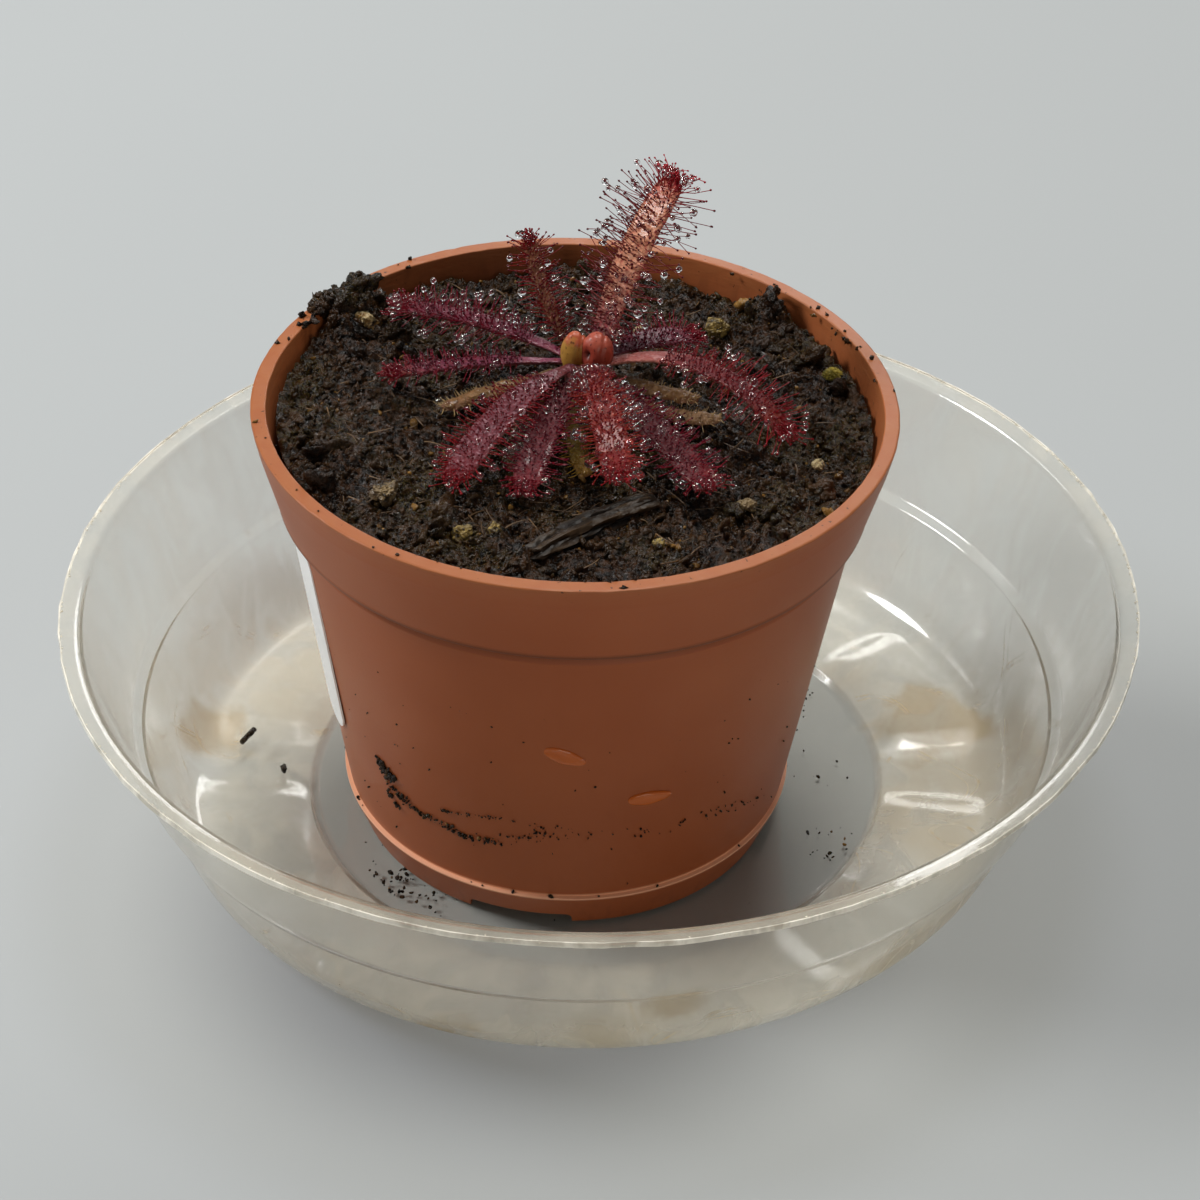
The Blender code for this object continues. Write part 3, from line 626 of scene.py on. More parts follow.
@dataclass(frozen=True)
class ClearSheet:
    """Clear vacuum-formed PVC sheet: glossy, with a cream haze and tan tide marks of algae."""

    sheet: str = "FDFDFA"
    haze: str = "E4DECB"
    stain: str = "BCA67A"
    edge: str = "FFFBEE"
    lamp_tint: tuple[float, float, float] = (0.91, 0.905, 0.885)

    def material(self, stains: Sequence[tuple[Vector, float]]) -> Material:
        """Makes the material; the mesh holds how milky each point is, with extra milk on the front as
        painted light, and where its edge was cut.

        Args:
            stains: middle and radius in millimetres of the patches where water stood and dried.

        Returns:
            The material.
        """
        paint = Recipe("clear_pvc_sheet")
        milk, cut, low = (paint.add("Attribute", attribute_name=name, gives="Fac")
                          for name in ("milk", "cut", "low"))
        cloud = paint.lumps(34.0, 1.0, swirl=0.6)
        drift = paint.lumps(26.0, 0.5, swirl=0.8)
        wisp = paint.lumps(7.0, 6.0, (1, 1, 3), 1.0)
        speck = paint.lumps(1.4, 6.0)
        cut = paint.add("Math", cut, paint.add("MapRange", wisp, 0.42, 0.58, 0.45, 1.0), **TIMES)
        film = paint.add("Math", paint.add("MapRange", cloud, 0.3, 0.7, 0.6, 1.2),
                         paint.add("MapRange", wisp, 0.35, 0.7, 0.6, 1.25), **TIMES)
        film = paint.add("Math", film, milk, **TIMES)
        # A tide line is the thin band where a slow noise passes through one level.
        lines = paint.add("Math", paint.add("Math", cloud, 0.50, 0.0035, operation="COMPARE"),
                          paint.add("Math", drift, 0.57, 0.004, operation="COMPARE"), **GREATER)
        for mask in (low, paint.add("MapRange", speck, 0.35, 0.65, 0.2, 1.0),
                     paint.add("MapRange", wisp, 0.46, 0.60)):
            lines = paint.add("Math", lines, mask, **TIMES)
        blot = paint.add("Math", paint.add("MapRange", cloud, 0.52, 0.66, 0.0, 0.4), low, **TIMES)
        for middle, radius in stains:
            blot = paint.add("Math", blot, self.patch(paint, middle, radius), **GREATER)
        blot = paint.add("Math", blot, paint.add("MapRange", wisp, 0.3, 0.65, 0.6, 1.0), **TIMES)
        share = paint.add("Math", film, paint.add("Math", blot, 0.20, **TIMES), **PLUS)
        share = paint.add("Math", share, paint.add("Math", lines, 0.30, **TIMES), **PLUS)
        share = paint.add("Math", share, paint.add("Math", cut, 0.95, **TIMES), **GREATER)
        tan = paint.add("Math", lines, paint.add("MapRange", blot, 0.0, 0.7), **GREATER)
        colour = paint.layered(self.haze, (self.stain, tan), (self.edge, cut))
        scratch = paint.lumps(0.8, 3.0, (1, 1, 8))
        paint.finish(Base_Color=self.sheet, Roughness=0.08, IOR=1.5, Transmission_Weight=1.0,
                     Normal=paint.relief((scratch, 0.006)))
        veil = paint.add("BsdfPrincipled", colour, None, 0.35)
        paint.lamps_through(paint.add("MixShader", share, paint.shader.outputs[0], veil), self.lamp_tint)
        return paint.material

    @staticmethod
    def patch(paint: Recipe, middle: Vector, radius: float) -> NodeSocket:
        """A round patch with a soft ragged border.

        Args:
            paint: the material in the making.
            middle: the patch's middle in millimetres.
            radius: its radius in millimetres.

        Returns:
            How strongly the patch shows.
        """
        size = radius * MM
        place = paint.add("TexCoord", gives="Object")
        away = paint.add("VectorMath", place, middle * MM, operation="DISTANCE")
        ragged = paint.add("MapRange", paint.lumps(5.0, 4.0), 0.3, 0.7, -0.3 * size, 0.3 * size)
        far = paint.add("Math", away, ragged, operation="ADD")
        return paint.add("MapRange", far, 0.55 * size, size, 0.9, 0.0)


@dataclass(frozen=True)
class MouldedPolypropylene:
    """Injection-moulded polypropylene, terracotta in colour: satin and even, scuffed pale on its rim."""

    wall: str = "A45A34"
    warm: str = "9A502B"
    worn: str = "A6633A"
    # The bright colour is a painted highlight along the step's edge.
    bright: str = "F2B490"
    # The dirt colour also paints the shade under the collar's ledge.
    dirt: str = "2A1C12"

    def material(self) -> Material:
        """Makes the material; the mesh holds where it is worn, where a highlight is painted on the step's
        edge, where it is dirty inside and where shade is painted under the ledge.
        """
        paint = Recipe("terracotta_polypropylene")
        rim, inside, line, groove = (paint.add("Attribute", attribute_name=name, gives="Fac")
                                     for name in ("rim", "inside", "line", "groove"))
        cloud = paint.lumps(30.0, 2.0)
        scuff = paint.lumps(0.9, 6.0, (4, 4, 1), 0.6)
        speck = paint.lumps(0.8, 2.0)
        specks = paint.add("MapRange", speck, 0.70, 0.74, 0.0, 0.9)
        streaks = paint.add("MapRange", paint.lumps(1.3, 4.0, (1, 1, 9)), 0.50, 0.75, 0.0, 0.4)
        base = paint.layered(
            self.wall,
            (self.warm, cloud, 0.3, 0.7),
            (self.worn, paint.add("Math", rim, paint.add("MapRange", scuff, 0.3, 0.6, 0.55, 1.0), **TIMES)),
            (self.dirt, paint.add("Math", rim, specks, **TIMES)),
            (self.dirt, paint.add("Math", inside, streaks, **TIMES)),
            (self.dirt, speck, 0.80, 0.83, 0.0, 0.6),
            (self.worn, paint.lumps(0.7, 2.0, swirl=0.5), 0.80, 0.82, 0.0, 0.6),
            # Painted highlight: the step's edge gets a pale colour for the light that it catches.
            (self.bright, line),
            # Painted shade: the band under the collar's ledge is darkened for the shadow that the ledge
            # casts.
            (self.dirt, groove, 0.0, 1.0, 0.0, 0.55),
        )
        scratched = paint.add("Math", rim, scuff, **TIMES)
        return paint.finish(Base_Color=base, IOR=1.46, Specular_IOR_Level=0.34,
                            Roughness=paint.add("MapRange", cloud, 0.3, 0.7, 0.38, 0.46),
                            Normal=paint.relief((scratched, 0.10), (paint.lumps(0.5, 4.0), 0.010)))


@dataclass(frozen=True)
class WaterFilm:
    """Water that clings to the plastic: it gathers light, so the wall behind it looks amber and bright; an
    amber layer paints in that light.
    """

    clear: str = "FFF2E2"
    amber: str = "C4601C"
    painted_light_share: float = 0.75
    lamp_tint: tuple[float, float, float] = (0.97, 0.97, 0.97)

    def material(self) -> Material:
        """Makes the material."""
        paint = Recipe("clinging_water")
        paint.finish(Base_Color=self.clear, Roughness=0.02, IOR=1.33, Transmission_Weight=1.0)
        # Painted light: this amber layer stands in for the light that the drop gathers on the wall behind
        # it.
        lit = paint.add("BsdfPrincipled", self.amber, None, 0.05)
        paint.lamps_through(paint.add("MixShader", self.painted_light_share, paint.shader.outputs[0], lit), self.lamp_tint)
        return paint.material


@dataclass(frozen=True)
class CoatedPaper:
    """White coated label stock: matt, faintly mottled, printed with nothing."""

    paper: str = "FFFFFE"
    shade: str = "F8F9F8"

    def material(self) -> Material:
        """Makes the material."""
        paint = Recipe("coated_label_paper")
        base = paint.layered(self.paper, (self.shade, paint.lumps(5.0, 4.0), 0.4, 0.8))
        return paint.finish(Base_Color=base, Roughness=0.42, Normal=paint.relief((paint.lumps(0.4), 0.01)))


@dataclass(frozen=True)
class WetPeat:
    """Wet peat: nearly black, crumbly and fibrous, with a film of water that glints."""

    name: str
    black: str = "070402"
    brown: str = "3A2311"
    olive: str = "403515"
    rust: str = "4A3018"
    straw: str = "9A7238"
    glint: float = 0.05

    def material(self) -> Material:
        """Makes the material; the mesh holds a tone at each point."""
        paint = Recipe(self.name)
        tone = paint.add("Attribute", attribute_name="tone", gives="Fac")
        grit = paint.lumps(0.9, 6.0)
        fine = paint.lumps(0.35, 4.0)
        mossy = paint.add("Math", paint.add("MapRange", paint.lumps(9.0, 4.0), 0.45, 0.65),
                          paint.add("MapRange", fine, 0.45, 0.65), **TIMES)
        base = paint.layered(
            self.black,
            (self.brown, grit, 0.40, 0.62),
            (self.olive, mossy),
            (self.rust, tone, 0.3, 0.8, 0.0, 0.5),
            (self.straw, tone, 0.86, 1.0, 0.0, 0.8),
        )
        wet = paint.add("MapRange", paint.lumps(0.8), 0.46, 0.58, self.glint, 0.30)
        return paint.finish(Base_Color=base, IOR=1.38, Specular_IOR_Level=0.32, Roughness=wet,
                            Normal=paint.relief((grit, 0.40), (fine, 0.26)))


@dataclass(frozen=True)
class Mineral:
    """Crumbly quartz and feldspar grit: pale and sugary, stained by the peat."""

    pale: str = "CBB88A"
    stained: str = "7A5A28"
    name: str = "crumbly_grit"
    peat: str = "1C140D"

    def material(self) -> Material:
        """Makes the material."""
        paint = Recipe(self.name)
        film = paint.lumps(1.1, 4.0, swirl=1.0)
        sugar = paint.lumps(0.4, 4.0)
        base = paint.layered(self.pale, (self.stained, paint.lumps(1.5, 5.0), 0.38, 0.62),
                             (self.peat, film, 0.52, 0.60, 0.0, 0.92))
        return paint.finish(Base_Color=base, IOR=1.5,
                            Roughness=paint.add("MapRange", sugar, 0.3, 0.7, 0.18, 0.6),
                            Normal=paint.relief((film, 0.3), (sugar, 0.22)))


@dataclass(frozen=True)
class WeatheredBark:
    """Weathered conifer bark: grey-brown, fibrous along its length, with painted shade that darkens its
    splits and underside and painted light on its top.
    """

    ridge: str = "40301F"
    face: str = "1E150D"
    # The split colour is painted shade in the cleft and underneath.
    split: str = "060403"
    fleck: str = "64503A"

    def material(self) -> Material:
        """Makes the material; the mesh holds a tone at each point: low for painted shade in the cleft and
        underneath, high for painted light on top, varied by the fibres.
        """
        paint = Recipe("weathered_bark")
        depth = paint.add("Attribute", attribute_name="tone", gives="Fac")
        fibre = paint.lumps(0.7, 6.0, (4, 4, 1))
        base = paint.layered(
            self.split,
            (self.face, depth, 0.0, 0.5),
            (self.ridge, depth, 0.5, 1.0),
            (self.face, fibre, 0.35, 0.7, 0.0, 0.6),
            (self.fleck, paint.lumps(1.8, 4.0), 0.62, 0.72, 0.0, 0.35),
        )
        return paint.finish(Base_Color=base, IOR=1.4, Specular_IOR_Level=0.3, Roughness=0.40,
                            Normal=paint.relief((fibre, 0.3)))


@dataclass(frozen=True)
class PlainFinish:
    """A small natural part of one colour that varies a little, such as a fibre, a twig or a moss leaf."""

    name: str
    light: str
    dark: str
    roughness: float = 0.6
    lump: float = 1.2

    def material(self) -> Material:
        """Makes the material."""
        paint = Recipe(self.name)
        patch = paint.lumps(self.lump, 4.0)
        return paint.finish(Base_Color=paint.layered(self.dark, (self.light, patch, 0.3, 0.7)),
                            Roughness=self.roughness, Normal=paint.relief((patch, 0.08)))


@dataclass(frozen=True)
class BudSkin:
    """A coiled young leaf: firm moist skin, freckled, of one colour below and another on its cap."""

    name: str
    foot: str
    body: str
    cap: str
    # The speck colour paints the freckles and also the shade in the pit.
    speck: str

    def material(self) -> Material:
        """Makes the material; the mesh holds the height on the bud and the painted shade in its pit."""
        paint = Recipe(self.name)
        along, tone = (paint.add("Attribute", attribute_name=held, gives="Fac")
                       for held in ("along", "tone"))
        freckle = paint.lumps(0.55, 2.0)
        patch = paint.lumps(1.4)
        height = paint.add("Math", along, paint.add("MapRange", patch, 0.3, 0.7, -0.12, 0.12), **PLUS)
        base = paint.layered(
            self.foot,
            (self.body, height, 0.1, 0.5),
            (self.cap, height, 0.72, 0.9),
            (self.speck, freckle, 0.62, 0.70, 0.0, 0.75),
            # Painted shade: the pit takes the dark speck colour.
            (self.speck, tone),
        )
        return paint.finish(Base_Color=base, IOR=1.40, Roughness=0.42, Coat_Weight=0.12, Coat_Roughness=0.2,
                            Normal=paint.relief((patch, 0.14), (freckle, 0.06)))


@dataclass(frozen=True)
class LeafSkin:
    """Living leaf tissue: moist and bumpy, coloured by anthocyanin, with pale flecks on its cells that are
    painted glints of their wet surface.
    """

    base: str
    middle: str
    tip: str
    # The fleck colour is a painted glint.
    fleck: str
    under: str = "8C5A4A"

    def material(self, name: str) -> Material:
        """Makes the material; the mesh holds the share of its length and how far up each point faces.

        Args:
            name: the leaf's name.

        Returns:
            The material.
        """
        paint = Recipe(f"skin_of_{name}")
        along, top = (paint.add("Attribute", attribute_name=held, gives="Fac")
                      for held in ("along", "tone"))
        cells = paint.lumps(0.55, 4.0)
        shift = paint.add("MapRange", paint.lumps(2.4), 0.3, 0.7, -0.08, 0.08)
        shifted = paint.add("Math", along, shift, **PLUS)
        base = paint.layered(
            self.base,
            (self.middle, shifted, 0.06, 0.45),
            (self.tip, shifted, 0.78, 0.98),
            (self.tip, cells, 0.50, 0.32, 0.0, 0.6),
            # Painted highlight: pale flecks on the cells stand in for glints on their wet surface.
            (self.fleck, cells, 0.54, 0.68, 0.0, 0.6),
            (self.under, top, 0.0, 1.0, 0.7, 0.0),
        )
        return paint.finish(Base_Color=base, IOR=1.38, Specular_IOR_Level=0.4, Roughness=0.34,
                            Coat_Weight=0.20,
                            Coat_Roughness=0.08, Normal=paint.relief((cells, 0.60)))


@dataclass(frozen=True)
class TentacleSkin:
    """A gland-tipped stalk: thin translucent red tissue that ends in a dark gland wet with glue."""

    root: str
    stalk: str
    gland: str
    tuft: str

    def material(self, name: str) -> Material:
        """Makes the material; the mesh holds the place along each tentacle and leaf, and a tone of its own.

        Args:
            name: the leaf's name.

        Returns:
            The material.
        """
        paint = Recipe(f"tentacles_of_{name}")
        along, tone, place = (paint.add("Attribute", attribute_name=held, gives="Fac")
                              for held in ("along", "tone", "place"))
        base = paint.layered(
            self.root,
            (self.stalk, along, 0.0, 0.45),
            (self.gland, along, 0.86, 0.95),
            (self.gland, tone, 0.0, 1.0, 0.0, 0.4),
            (self.tuft, place, 0.84, 0.98, 0.0, 0.75),
        )
        return paint.finish(Base_Color=base, IOR=1.38, Specular_IOR_Level=0.4, Roughness=0.26)


@dataclass(frozen=True)
class Dewdrop:
    """Clear sticky mucilage: water with sugars in it, colourless and very smooth."""

    clear: str = "FFFFFF"
    ior: float = 1.42
    lamp_tint: tuple[float, float, float] = (0.96, 0.96, 0.96)

    def material(self) -> Material:
        """Makes the material; light passes through it without a dark shadow."""
        paint = Recipe("clear_mucilage")
        paint.finish(Base_Color=self.clear, Roughness=0.0, IOR=self.ior, Transmission_Weight=1.0,
                     Coat_Weight=0.5, Coat_Roughness=0.0)
        paint.lamps_through(paint.shader.outputs[0], self.lamp_tint)
        return paint.material


# Studio


@dataclass
class Studio:
    """Plain pale floor, plain soft light and the camera at the photograph's angle."""

    lens: float = 84.0
    sensor: float = 36.0
    pitch: float = 36.85
    roll: float = 2.0
    standoff: tuple[float, float, float] = (-5.3, 28.81, 429.95)
    pot_axis: tuple[float, float, float] = (-4.8, -2.3, -0.4)
    card: str = "B4B8B9"
    card_shade: str = "ABAFB0"
    card_drop: float = 0.2
    room: str = "E8EAEC"
    room_strength: float = 0.15
    # Name, place, aim and size in metres, watts and colour of each light.
    panels: tuple[tuple, ...] = (
        ("overhead", (0.10, 0.40, 1.30), (0.0, 0.0, 0.05), (0.50, 0.40), 10.5, "FFFDF8"),
        ("window", (-0.92, 0.12, 0.78), (0.0, 0.0, 0.02), (0.40, 0.32), 9.5, "FFFFFF"),
        ("back_window", (0.25, 1.60, 0.75), (0.0, 0.0, 0.05), (1.0, 0.4), 6.0, "FFFFFF"),
        ("front_card", (0.5, -1.3, 0.28), (0.0, 0.0, 0.03), (0.9, 0.5), 3.4, "FFF0DE"),
    )

    def build(self) -> None:
        """Builds the floor, the lights and the camera."""
        self.floor()
        self.lights()
        self.camera()

    def floor(self) -> None:
        """A wide smooth sheet of pale grey card, just under the dish."""
        floor = primitive("floor", bpy.ops.mesh.primitive_grid_add, x_subdivisions=8, y_subdivisions=8,
                          size=6.0, location=(0.0, 0.0, -self.card_drop * MM))
        bpy.ops.object.transform_apply(location=True, rotation=True, scale=True)
        paint = Recipe("pale_card")
        base = paint.layered(self.card, (self.card_shade, paint.lumps(300.0, 2.0)))
        floor.data.materials.append(paint.finish(Base_Color=base, Roughness=0.85))
        floor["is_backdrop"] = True

    def lights(self) -> None:
        """An even room, a soft box overhead, two window-like panels and a warm card in front."""
        world = bpy.data.worlds.new("studio")
        bpy.context.scene.world = world
        world.use_nodes = True
        back = world.node_tree.nodes["Background"]
        back.inputs["Color"].default_value = linear(self.room)
        back.inputs["Strength"].default_value = self.room_strength
        bpy.context.scene.view_settings.view_transform = "Standard"
        for name, place, aim, size, watts, colour in self.panels:
            light = bpy.data.lights.new(name, "AREA")
            light.shape = "ELLIPSE"
            light.size, light.size_y = size
            light.energy = watts
            light.color = linear(colour)[:3]
            lamp = bpy.data.objects.new(name, light)
            bpy.context.scene.collection.objects.link(lamp)
            lamp.location = place
            lamp.rotation_euler = (Vector(aim) - Vector(place)).to_track_quat("-Z", "Y").to_euler()

    def camera(self) -> None:
        """The camera looks down on the pot, a little rolled."""
        tilt = math.radians(self.pitch)
        lean = math.radians(self.roll)
        right = Vector((1.0, 0.0, 0.0))
        down = Vector((0.0, -math.sin(tilt), -math.cos(tilt)))
        ahead = Vector((0.0, math.cos(tilt), -math.sin(tilt)))
        across = right * math.cos(lean) - down * math.sin(lean)
        below = right * math.sin(lean) + down * math.cos(lean)
        shift_x, shift_y, distance = self.standoff
        eye = Vector(self.pot_axis) - across * shift_x - below * shift_y - ahead * distance
        data = bpy.data.cameras.new("camera")
        data.lens = self.lens
        data.sensor_width = self.sensor
        data.clip_start = 0.01
        camera = bpy.data.objects.new("camera", data)
        bpy.context.scene.collection.objects.link(camera)
        turn = Matrix((across, -below, -ahead)).transposed()
        camera.matrix_world = Matrix.Translation(eye * MM) @ turn.to_4x4()
        bpy.context.scene.camera = camera


# Saucer


@dataclass
class Saucer:
    """The thin clear dish: a flat disc, raised pads round it, a stepped wall and a flat trimmed lip."""

    radius: float = 77.3
    height: float = 37.8
    wall: float = 0.8
    lip: float = 2.6
    step_radius: float = 67.2
    step_height: float = 19.0
    base_radius: float = 60.5
    disc_radius: float = 42.3
    hole_radius: float = 7.0
    shelf_rise: float = 1.2
    pads: int = 8
    pad_rise: float = 1.1
    pad_share: float = 0.72
    oval: float = 0.025
    oval_heading: float = 33.0
    sides: int = 152
    burr_count: int = 520
    stains: tuple[tuple[Vector, float], ...] = (
        (Vector((-19.0, -59.0, 3.0)), 5.0),
        (Vector((12.0, -66.0, 16.0)), 6.0),
        (Vector((-60.0, 4.0, 4.0)), 8.0),
        (Vector((52.0, 12.0, 3.0)), 11.0),
    )

    def build(self) -> None:
        """Models the dish in the place of its solid."""
        dish = turned("saucer_dish", self.profile(), self.sides, capped=False)
        self.close_disc(dish)
        reshape(dish, self.raise_pads)
        thicken(dish, self.wall, -1.0)
        self.mark_zones(dish)
        reshape(dish, self.fray_edge)
        reshape(dish, self.pull_oval)
        dress(dish, ClearSheet().material(self.stains), 40.0)
        hand_over(dish, "clear_plastic", "saucer")
        self.burrs()

    def mark_zones(self, dish: Object) -> None:
        """Keeps at each point how milky the sheet is, with extra milk on the front that paints in the
        stronger light there, where it was cut and where algae can grow.

        Args:
            dish: the dish.
        """
        points = points_of(dish)
        radius = from_axis(points)
        height = points[:, 2]
        lip = step_up(radius, self.radius - self.lip - 0.6, 0.8)
        out_of_disc = step_up(radius, self.disc_radius, 1.0)
        near_base = step_up(height, 16.0, -12.0) * out_of_disc
        front = step_up(-points[:, 1], 0.0, self.base_radius)
        # Painted light: the front term thickens the haze low on the front wall, standing in for the
        # stronger light that falls there.
        hold(dish, milk=0.02 + 0.12 * out_of_disc + (0.12 + 0.32 * front) * near_base + 0.05 * lip,
             cut=step_up(radius, self.radius - 0.28, 0.16), low=step_up(height, 24.0, -12.0) * out_of_disc)

    def burrs(self) -> None:
        """Tiny ragged slivers left on the trimmed edge of the lip."""
        draw = default_rng(31)
        pattern = Soil.lump_pattern(1, 9.0)
        count = self.burr_count
        angle = draw.random(count) * math.tau
        radius = self.radius - 0.35 + draw.uniform(-0.12, 0.14, count)
        height = self.height + 0.15 - self.wall * draw.random(count)
        centres = self.pull_oval(np.stack([radius * np.cos(angle), radius * np.sin(angle), height], axis=1))
        sizes = draw.uniform(0.12, 0.34, (count, 3)) * np.array([1.0, 1.0, 1.4])
        finish = PlainFinish("whitened_pvc_edge", "F6F1E2", "DAD2BC", 0.3, 2.0).material()
        piece = pattern.copies("trim_burrs", strewn(pattern, centres, sizes, draw), finish)
        hand_over(piece, "clear_plastic")

    def profile(self) -> Profile:
        """Radius and height of the upper surface, from the middle to the lip's outer edge."""
        floor = self.wall
        shelf = floor + self.shelf_rise
        corners = (
            (6.0, floor, 0.0),
            (self.disc_radius - 0.4, floor, 1.0),
            (self.disc_radius + 0.9, shelf, 1.2),
            (self.base_radius + 0.9, shelf, 8.5),
            (self.step_radius - 0.6, self.step_height - 0.5, 1.1),
            (self.step_radius + 0.9, self.step_height + 0.7, 1.1),
            (self.radius - self.lip - 0.4, self.height - 0.2, 1.9),
            (self.radius - 0.35, self.height + 0.18, 0.0),
            (self.radius - 0.14, self.height + 0.19, 0.0),
            (self.radius, self.height + 0.2, 0.0),
        )
        return refined(rounded(corners, 8), 2.2)

    def close_disc(self, dish: Object) -> None:
        """Fills the hole in the middle of the disc and makes the upper side the outer one.

        Args:
            dish: the dish.
        """
        with editing(dish):
            bpy.ops.mesh.select_all(action="DESELECT")
        for vertex in dish.data.vertices:
            vertex.select = vertex.co.to_2d().length < self.hole_radius * MM
        with editing(dish, whole=False):
            bpy.ops.mesh.edge_face_add()
        face_outwards(dish, (0.0, 0.0, 1.0))

    def raise_pads(self, points: Array) -> Array:
        """Lifts the rounded pads that stand in a ring round the disc, with soft edges.

        Args:
            points: points in millimetres, one a row.

        Returns:
            The points in their new places.
        """
        radius = from_axis(points)
        turn = np.arctan2(points[:, 1], points[:, 0]) / math.tau * self.pads
        along = np.abs(turn - np.floor(turn) - 0.5) * 2.0
        arc = (1.0 - along) * radius * math.pi / self.pads
        edge = radius * math.pi / self.pads * (1.0 - self.pad_share)
        sideways = step_up(arc, edge, 2.2)
        inward = step_up(radius, self.disc_radius + 1.6, 2.6)
        outward = step_up(radius, self.base_radius - 0.4, -3.2)
        bump = sideways * inward * outward
        out = points.copy()
        out[:, 2] += self.pad_rise * bump * bump * (3.0 - 2.0 * bump)
        return out

    def pull_oval(self, points: Array) -> Array:
        """Pulls the flexible dish a little out of round.

        Args:
            points: points in millimetres, one a row.

        Returns:
            The points in their new places.
        """
        angle = math.radians(self.oval_heading)
        along = np.array([math.cos(angle), math.sin(angle)])
        aside = np.array([-along[1], along[0]])
        flat = points[:, :2]
        out = points.copy()
        out[:, :2] = (np.outer(flat @ along * (1.0 + self.oval), along)
                      + np.outer(flat @ aside * (1.0 - self.oval), aside))
        return out

    def fray_edge(self, points: Array) -> Array:
        """Roughens the lip's trimmed edge, inwards only and alike above and below.

        Args:
            points: points in millimetres, one a row.

        Returns:
            The points in their new places.
        """
        out = points.copy()
        radius = from_axis(points)
        index = np.nonzero(radius > self.radius - 0.3)[0]
        flat = points[index] * np.array([1.0, 1.0, 0.0])
        rough = lumps(flat, 1.6, 3.0) * 0.22 + lumps(flat, 6.0, 4.0) * 0.18
        scale = 1.0 - np.clip(rough + 0.12, 0.0, 0.45) / radius[index]
        out[index, :2] *= scale[:, None]
        return out


# Pot


